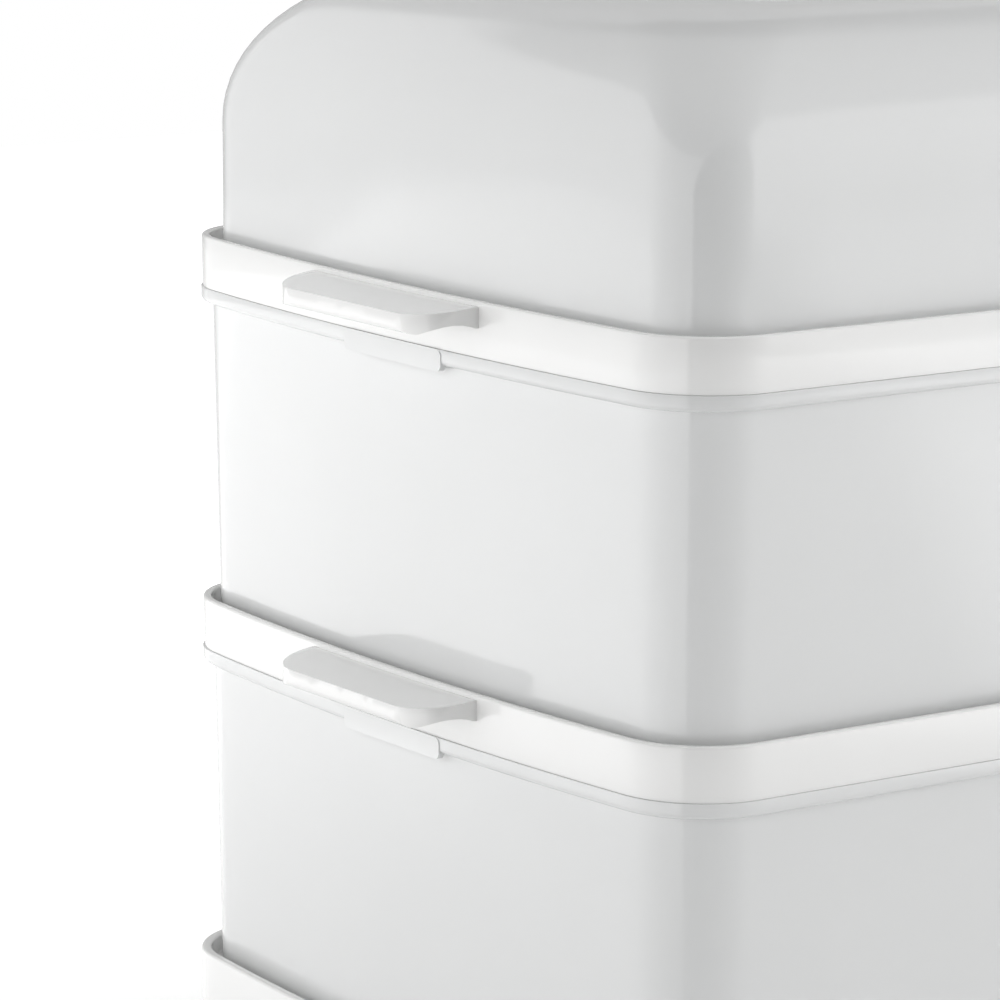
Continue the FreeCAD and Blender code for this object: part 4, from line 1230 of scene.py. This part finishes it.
@dataclass
class DialMarks:
    """Printed minutes round the timer knob, and the word at the power button."""

    centre_x: float = -30.0
    centre_z: float = 59.0
    panel_y: float = -119.7
    number_radius: float = 27.9
    number_height: float = 3.1
    tick_inner: float = 24.2
    tick_outer: float = 25.5
    degrees_per_minute: float = 5.0
    long_half: float = 0.28
    short_half: float = 0.18
    short_by: float = 0.5
    tick_round: float = 0.12
    ink: float = 0.06
    font_scale: float = 1.38
    power_x: float = 28.0
    power_drop: float = 12.0
    power_height: float = 2.6

    def word(self, text: str, x: float, z: float, height: float) -> Piece:
        """Printed word or number on the panel.

        Args:
            text: What is printed.
            x: Middle of the word along X.
            z: Middle of the word along Z.
            height: Height of its figures.

        Returns:
            The piece as a mesh in place.
        """
        nothing_selected()
        bpy.ops.object.text_add()
        letters = bpy.context.object
        letters.data.body = text
        letters.data.size = height * self.font_scale * MM
        letters.data.align_x = "CENTER"
        letters.data.align_y = "CENTER"
        letters.data.extrude = self.ink / 2.0 * MM
        letters.data.resolution_u = 4
        bpy.ops.object.convert(target="MESH")
        piece = named("panel_mark_" + text.replace("/", "_").lower() + "_%d" % round(x))
        spot = Vector((x, self.panel_y - self.ink / 2.0 + PLAN.middle_y, z)) * MM
        turn = Matrix.Rotation(math.radians(90.0), 4, "X")
        piece.data.transform(Matrix.Translation(spot) @ turn)
        return piece

    def tick(self, minute: float, long: bool) -> Piece:
        """Short line beside the knob.

        Args:
            minute: Minute that it marks.
            long: True at every tenth minute.

        Returns:
            The piece in place.
        """
        outer = self.tick_outer if long else self.tick_outer - self.short_by
        half = self.long_half if long else self.short_half
        piece = block("panel_tick_%02d" % minute,
                      (-half, self.panel_y - self.ink, self.tick_inner),
                      (half, self.panel_y, outer))
        bevel_edges(piece, Y_AXIS, self.tick_round, 2)
        turn = Matrix.Rotation(math.radians(minute * self.degrees_per_minute), 4, "Y")
        hub = Vector((self.centre_x, 0.0, self.centre_z)) * MM
        piece.data.transform(Matrix.Translation(hub) @ turn)
        return piece

    def build(self) -> list[Piece]:
        """Builds and dresses the marks.

        Returns:
            Its pieces.
        """
        pieces = [self.tick(minute, minute % 10 == 0) for minute in range(0, 61, 5)]
        for minute in range(0, 61, 10):
            a = math.radians(minute * self.degrees_per_minute)
            pieces.append(self.word(str(minute), self.centre_x + self.number_radius * math.sin(a),
                                    self.centre_z + self.number_radius * math.cos(a),
                                    self.number_height))
        pieces.append(self.word("ON/OFF", self.power_x, self.centre_z - self.power_drop,
                                self.power_height))
        for piece in pieces:
            finished(piece, GREY_INK, Body.BASE, angle=20.0)
        return pieces


@dataclass
class TimerKnob:
    """White timer knob: skirt, tapered crown with a grip bar, pointer line."""

    centre_x: float = -30.0
    centre_z: float = 59.0
    back_y: float = -120.3
    height: float = 20.0
    diameter: float = 46.0
    skirt_height: float = 5.0
    crown_inset: float = 2.0
    crown_taper: float = 2.0
    crown_round: float = 1.8
    grip_width: float = 9.0
    grip_depth: float = 8.0
    bore: float = 6.04
    bore_depth: float = 16.02
    recess: float = 1.0
    recess_wall: float = 3.0
    hub: float = 12.0
    face_gap: float = 0.08
    scoop_round: float = 1.6
    cutter_reach: float = 3.0
    edge_round: float = 0.45
    pointer_half: float = 0.6
    pointer_depth: float = 0.4
    pointer_span: tuple[float, float] = (6.0, 17.0)
    pointer_round: float = 0.5

    def body(self) -> Piece:
        """Turned body of the knob with its bore and the recess round its hub.

        Returns:
            The piece in object mode.
        """
        r = self.diameter / 2.0
        crown = r - self.crown_inset
        face = self.height - self.face_gap
        outer = round_section([
            (r, 0.0, 0.3), (r, self.skirt_height, 0.8), (crown, self.skirt_height, 0.6),
            (crown - self.crown_taper, face, self.crown_round), (0.5, face, 0.0)],
            steps=5, closed=False)
        back = [(self.bore / 2.0, self.bore_depth), (self.bore / 2.0, 0.0),
                (self.hub / 2.0, 0.0), (self.hub / 2.0, self.recess),
                (r - self.recess_wall, self.recess), (r - self.recess_wall, 0.0)]
        centre = Vector((self.centre_x, self.back_y, self.centre_z))
        return turned_solid("timer_knob_body", centre, Vector((0.0, -1.0, 0.0)),
                            back + outer, count=72)

    def scoop(self, side: int) -> Piece:
        """Solid that leaves one flank of the grip bar, with a rounded root.

        Args:
            side: 1 for the +X flank, -1 for the -X flank.

        Returns:
            The piece in object mode.
        """
        front = self.back_y - self.height
        xs = sorted((self.centre_x + side * self.grip_width / 2.0,
                     self.centre_x + side * self.diameter))
        scoop = block("grip_scoop",
                      (xs[0], front - self.cutter_reach, self.centre_z - self.diameter),
                      (xs[1], front + self.grip_depth, self.centre_z + self.diameter))
        bevel_edges(scoop, Z_AXIS, self.scoop_round, 5)
        return scoop

    def build(self) -> list[Piece]:
        """Builds and dresses the knob.

        Returns:
            Its pieces.
        """
        knob = self.body()
        for side in (-1, 1):
            combine(knob, self.scoop(side), Join.TAKE_AWAY)
        soften(knob, self.edge_round, angle=50.0)
        pieces = [finished(knob, WHITE_ABS, Body.DIAL, ["timer_knob"], angle=38.0)]
        front = self.back_y - self.height
        low, high = (self.centre_z + reach for reach in self.pointer_span)
        line = block("timer_pointer", (self.centre_x - self.pointer_half, front, low),
                     (self.centre_x + self.pointer_half, front + self.pointer_depth, high))
        bevel_edges(line, Y_AXIS, self.pointer_round, 4)
        pieces.append(finished(line, GREY_INK, Body.DIAL, angle=25.0))
        return pieces


@dataclass
class PushButton:
    """White push button with a dished face, its collar and its stem.

    Attributes:
        node: CAD node that it replaces.
        body: Body that carries it.
        x: Middle along X.
        dish_middle: Radius of the flat middle of the dish.
        dish_points: Shares of the cap's radius and of the dish's depth, on its slope.
        face_points: Distances inside the cap's edge, and depths, of the rounded rim.
    """

    node: str
    body: Body
    x: float
    z: float = 59.0
    panel_front: float = -119.7
    panel_back: float = -117.7
    proud: float = 3.0
    diameter: float = 14.0
    collar: float = 17.0
    collar_thickness: float = 1.5
    joint_gap: float = 0.1
    stem: float = 5.0
    stem_length: float = 6.5
    stem_edge: float = 0.4
    dish: float = 0.5
    dish_middle: float = 0.6
    dish_points: tuple[tuple[float, float], ...] = ((0.35, 0.85), (0.65, 0.4))
    face_points: tuple[tuple[float, float], ...] = (
        (1.4, 0.04), (1.0, 0.0), (0.5, 0.13), (0.15, 0.5), (0.0, 1.0))

    def build(self) -> list[Piece]:
        """Builds and dresses the button.

        Returns:
            Its pieces.
        """
        face = self.panel_front - self.proud
        back = self.panel_back + self.joint_gap
        r = self.diameter / 2.0
        length = back - face
        stop = length + self.collar_thickness
        profile = [(self.dish_middle, self.dish)]
        profile += [(r * out, self.dish * deep) for out, deep in self.dish_points]
        profile += [(r - inset, depth) for inset, depth in self.face_points]
        profile += [(r, length), (self.collar / 2.0, length), (self.collar / 2.0, stop),
                    (self.stem / 2.0, stop),
                    (self.stem / 2.0, stop + self.stem_length - self.stem_edge),
                    (self.stem / 2.0 - self.stem_edge, stop + self.stem_length)]
        piece = turned_solid(self.node + "_cap", Vector((self.x, face, self.z)), Y_AXIS,
                             profile, count=56)
        return [finished(piece, WHITE_ABS, self.body, [self.node], angle=40.0)]


NODE_FINISHES: dict[str, Finish] = {
    "bottom_cover": WHITE_ABS_TEXTURED, "rubber_feet": RUBBER, "cover_screws": STEEL,
    "water_tub": GREY_PP, "tub_screws": STEEL, "water_filler": GREY_PP,
    "water_gauge": CLEAR_GAUGE, "heater_seal": SILICONE, "heater_clamp": STEEL,
    "heater_studs": STEEL, "hot_plate": STEEL, "heater_block": CAST_ALUMINIUM,
    "heating_element": STEEL, "thermostat": STEEL, "thermal_fuse": CERAMIC,
    "control_panel": GREY_ABS, "timer_body": BLACK_NYLON, "timer_screws": STEEL,
    "switch_board": BOARD, "button_switches": BLACK_NYLON, "board_screws": STEEL,
    "indicator_led": AMBER_PMMA, "lamp_lens": AMBER_PMMA, "cord_gland": RUBBER,
    "terminal_block": CERAMIC, "live_wire": WIRE_BROWN, "switched_wire": WIRE_BROWN,
    "neutral_wire": WIRE_BLUE, "timer_shaft": STEEL, "steam_collar": GREY_PP,
    "drip_tray": SMOKE_SAN, "lower_floor_grid": MILKY_PP, "upper_floor_grid": MILKY_PP,
    "lid_screws": STEEL,
}


def dress_nodes(frame: dict) -> None:
    """Gives each CAD node that stays its material.
    """
    for name, finish in NODE_FINISHES.items():
        node = frame["nodes"][name]
        node.data.materials.clear()
        node.data.materials.append(finish.material())
        LOG.info("%s is dressed in %s", name, finish.name)


# Studio and camera


@dataclass(frozen=True)
class Softbox:
    """Large upright soft lamp.

    Attributes:
        name: Name of the lamp.
        place: Where its middle stands, in metres.
        facing: Direction from the front of the lamp to its back, in degrees from +X, or
            None where it faces down.
        width: Size across.
        height: Size upwards.
        radiance: Brightness of its face, where 1 is the white of the surroundings. Gloss
            shows the surroundings instead of it.
    """

    name: str
    place: tuple[float, float, float]
    facing: float | None
    width: float
    height: float
    radiance: float

    def build(self) -> None:
        """Adds the lamp."""
        lamp = bpy.data.lights.new(self.name, "AREA")
        lamp.shape = "RECTANGLE"
        lamp.size = self.width
        lamp.size_y = self.height
        lamp.energy = self.radiance * math.pi * self.width * self.height
        box = bpy.data.objects.new(self.name, lamp)
        bpy.context.scene.collection.objects.link(box)
        if self.facing is not None:
            turn = math.radians(self.facing)
            away = Vector((math.cos(turn), math.sin(turn), 0.0))
            box.rotation_euler = away.to_track_quat("Z", "Y").to_euler()
        box.location = self.place
        box.visible_camera = False
        box.visible_glossy = False


@dataclass
class Studio:
    """Plain pale floor, white surroundings and soft side lamps.

    Attributes:
        floor_size: Side of the floor, in metres.
        floor_colour: Paint of the floor as sRGB hex.
        floor_roughness: Roughness of the paint.
        floor_grain_mm: Size of the paint's grain.
        floor_relief_mm: Height of that grain.
        floor_relief: How strongly it shows.
        floor_lift: White added under the object's shadow, as the camera sees it.
        shadow_reach: Distance up to which only that much is added, in metres.
        white_from: Distance from which the floor shows plain white, in metres.
        ambient: Grey that lights the object from all round.
        ceiling: Grey that gloss shows overhead.
        ceiling_from: Height of a direction from which it does.
        ceiling_fade: Span over which it starts.
        open_sides: Direction, half width and grey of the sides without a white wall.
        side_fade: Span over which such a side starts.
        lamps: The soft lamps.
    """

    floor_size: float = 5.0
    floor_colour: str = "#F2F2F2"
    floor_roughness: float = 0.8
    floor_grain_mm: float = 3.0
    floor_relief_mm: float = 0.1
    floor_relief: float = 0.2
    floor_lift: float = 0.3
    shadow_reach: float = 0.35
    white_from: float = 0.75
    ambient: float = 0.14
    ceiling: float = 0.45
    ceiling_from: float = 0.57
    ceiling_fade: float = 0.03
    open_sides: tuple[tuple[float, float, float], ...] = ((258.0, 46.0, 0.15),
                                                          (44.0, 52.0, 0.5))
    side_fade: float = 0.04
    lamps: tuple[Softbox, ...] = (
        Softbox("softbox_back_left", (-0.964, 1.864, 0.61), 50.0, 2.14, 1.18, 1.85),
        Softbox("softbox_left", (-1.276, 0.258, 0.56), 169.0, 2.26, 1.08, 1.5),
        Softbox("softbox_right", (1.1, -1.15, 0.82), 340.0, 2.2, 1.6, 2.15),
        Softbox("fill_front", (1.1, -1.9, 0.9), 300.0, 1.6, 1.2, 1.15),
        Softbox("fill_above", (0.0, 0.0, 1.9), None, 1.6, 1.6, 1.25),
    )

    def room(self, tree: Tree, direction: Socket) -> Socket:
        """Share of white that gloss shows, less toward the open sides of the studio.

        Args:
            tree: Node tree of the floor or the world.
            direction: Unit vector from the object to what is seen.

        Returns:
            Output socket with the share.
        """
        shares = []
        for azimuth, half_width, grey in self.open_sides:
            turn = math.radians(azimuth)
            side = add_node(tree, "ShaderNodeVectorMath", {
                "operation": "DOT_PRODUCT", 1: (math.cos(turn), math.sin(turn), 0.0)},
                {0: direction})
            edge = math.cos(math.radians(half_width))
            share = add_node(tree, "ShaderNodeMapRange", {
                "From Min": edge, "From Max": edge + self.side_fade, "To Min": 1.0,
                "To Max": grey}, {"Value": side.outputs["Value"]})
            shares.append(share.outputs["Result"])
        both = add_node(tree, "ShaderNodeMath", {"operation": "MULTIPLY"},
                        {0: shares[0], 1: shares[1]})
        return both.outputs["Value"]

    def seen(self, tree: Tree, share: Socket) -> Socket:
        """White for the camera and through glass, a share of it for gloss, nothing else.

        Args:
            tree: Node tree of the floor or the world.
            share: Share of white that gloss shows.

        Returns:
            Output socket with the brightness.
        """
        ray = add_node(tree, "ShaderNodeLightPath").outputs
        direct = add_node(tree, "ShaderNodeMath", {"operation": "MAXIMUM"},
                          {0: ray["Is Camera Ray"], 1: ray["Is Transmission Ray"]})
        gloss = add_node(tree, "ShaderNodeMath", {"operation": "MULTIPLY"},
                         {0: ray["Is Glossy Ray"], 1: share})
        return add_node(tree, "ShaderNodeMath", {"operation": "MAXIMUM"},
                        {0: direct.outputs["Value"], 1: gloss.outputs["Value"]}).outputs["Value"]

    def floor(self) -> None:
        """Adds a pale floor that keeps the object's shadow."""
        nothing_selected()
        bpy.ops.mesh.primitive_plane_add(size=self.floor_size)
        floor = named("studio_floor")
        made = bpy.data.materials.new("painted_board_pale")
        made.use_nodes = True
        tree = made.node_tree
        tree.nodes.clear()
        place = add_node(tree, "ShaderNodeTexCoord").outputs["Object"]
        grain = add_node(tree, "ShaderNodeTexNoise", {
            "Scale": per_metre(self.floor_grain_mm), "Detail": 3.0}, {"Vector": place})
        bump = add_node(tree, "ShaderNodeBump", {
            "Strength": self.floor_relief, "Distance": self.floor_relief_mm * MM},
            {"Height": grain.outputs["Fac"]})
        paint = add_node(tree, "ShaderNodeBsdfPrincipled", {
            "Base Color": linear(self.floor_colour), "Roughness": self.floor_roughness},
            {"Normal": bump.outputs["Normal"]})
        toward = add_node(tree, "ShaderNodeVectorMath", {"operation": "NORMALIZE"}, {0: place})
        reach = add_node(tree, "ShaderNodeVectorMath", {"operation": "LENGTH"}, {0: place})
        fade = add_node(tree, "ShaderNodeMapRange", {
            "From Min": self.shadow_reach, "From Max": self.white_from,
            "To Min": self.floor_lift, "To Max": 1.0}, {"Value": reach.outputs["Value"]})
        lift = add_node(tree, "ShaderNodeMath", {"operation": "MULTIPLY"},
                        {0: self.seen(tree, self.room(tree, toward.outputs["Vector"])),
                         1: fade.outputs["Result"]})
        glow = add_node(tree, "ShaderNodeEmission", {"Color": WHITE},
                        {"Strength": lift.outputs["Value"]})
        both = add_node(tree, "ShaderNodeAddShader", None,
                        {0: paint.outputs["BSDF"], 1: glow.outputs["Emission"]})
        add_node(tree, "ShaderNodeOutputMaterial", None, {"Surface": both.outputs["Shader"]})
        floor.data.materials.append(made)

    def surroundings(self) -> None:
        """White world for what the camera, gloss and glass see, and a plain grey for the rest."""
        world = bpy.data.worlds.new("studio_white")
        bpy.context.scene.world = world
        world.use_nodes = True
        tree = world.node_tree
        tree.nodes.clear()
        place = add_node(tree, "ShaderNodeTexCoord").outputs["Generated"]
        split = add_node(tree, "ShaderNodeSeparateXYZ", None, {0: place})
        height = add_node(tree, "ShaderNodeMapRange", {
            "From Min": self.ceiling_from, "From Max": self.ceiling_from + self.ceiling_fade,
            "To Min": 1.0, "To Max": self.ceiling}, {"Value": split.outputs["Z"]})
        share = add_node(tree, "ShaderNodeMath", {"operation": "MULTIPLY"},
                         {0: self.room(tree, place), 1: height.outputs["Result"]})
        strength = add_node(tree, "ShaderNodeMath", {"operation": "MAXIMUM", 1: self.ambient},
                            {0: self.seen(tree, share.outputs["Value"])})
        glow = add_node(tree, "ShaderNodeBackground", {"Color": WHITE},
                        {"Strength": strength.outputs["Value"]})
        add_node(tree, "ShaderNodeOutputWorld", None, {"Surface": glow.outputs["Background"]})

    def build(self) -> None:
        """Builds floor, world and lamps."""
        self.floor()
        self.surroundings()
        for lamp in self.lamps:
            lamp.build()
        bpy.context.scene.view_settings.view_transform = "Standard"
        LOG.info("studio has %d lamps", len(self.lamps))


@dataclass(frozen=True)
class PhotoCamera:
    """Camera at the photograph's viewing angle."""

    place: tuple[float, float, float] = (-0.8625, -1.04349, 0.4933)
    azimuth: float = -0.6102
    pitch: float = 0.1905
    roll: float = 0.0063
    lens: float = 181.5
    sensor: float = 36.0
    clip: tuple[float, float] = (0.05, 50.0)

    def build(self) -> None:
        """Adds the camera and makes it the scene's own."""
        back = Vector((math.sin(self.azimuth) * math.cos(self.pitch),
                       -math.cos(self.azimuth) * math.cos(self.pitch), math.sin(self.pitch)))
        right = (-back).cross(Z_AXIS).normalized()
        up = right.cross(-back)
        across = math.cos(self.roll) * right + math.sin(self.roll) * up
        upward = -math.sin(self.roll) * right + math.cos(self.roll) * up
        turn = Matrix((across, upward, back)).transposed().to_4x4()
        data = bpy.data.cameras.new("photo_camera")
        data.lens = self.lens
        data.sensor_width = self.sensor
        data.clip_start, data.clip_end = self.clip
        camera = bpy.data.objects.new("photo_camera", data)
        bpy.context.scene.collection.objects.link(camera)
        camera.matrix_world = Matrix.Translation(Vector(self.place)) @ turn
        bpy.context.scene.camera = camera


def main() -> None:
    """Loads the frame, dresses it, builds the pieces, the studio and the camera."""
    logging.basicConfig(level=logging.INFO, format="%(name)s: %(message)s")
    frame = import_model()
    PhotoCamera().build()
    dress_nodes(frame)
    assemblies = [
        TrayRim("lower", Body.LOWER_TRAY, "lower_tray_rim", 205.0),
        TrayBowl("lower", Body.LOWER_TRAY, "lower_tray_bowl", 205.0),
        TrayRim("upper", Body.UPPER_TRAY, "upper_tray_rim", 305.0),
        TrayBowl("upper", Body.UPPER_TRAY, "upper_tray_bowl", 305.0),
        Lid(), LidHandle(), BaseHousing(), DialMarks(), TimerKnob(),
        PushButton("power_button", Body.POWER, 28.0), PushButton("warm_button", Body.WARM, 56.0),
    ]
    for assembly in assemblies:
        pieces = assembly.build()
        LOG.info("%s: %d pieces", type(assembly).__name__, len(pieces))
    Studio().build()
    nothing_selected()


if __name__ == "__main__":
    main()
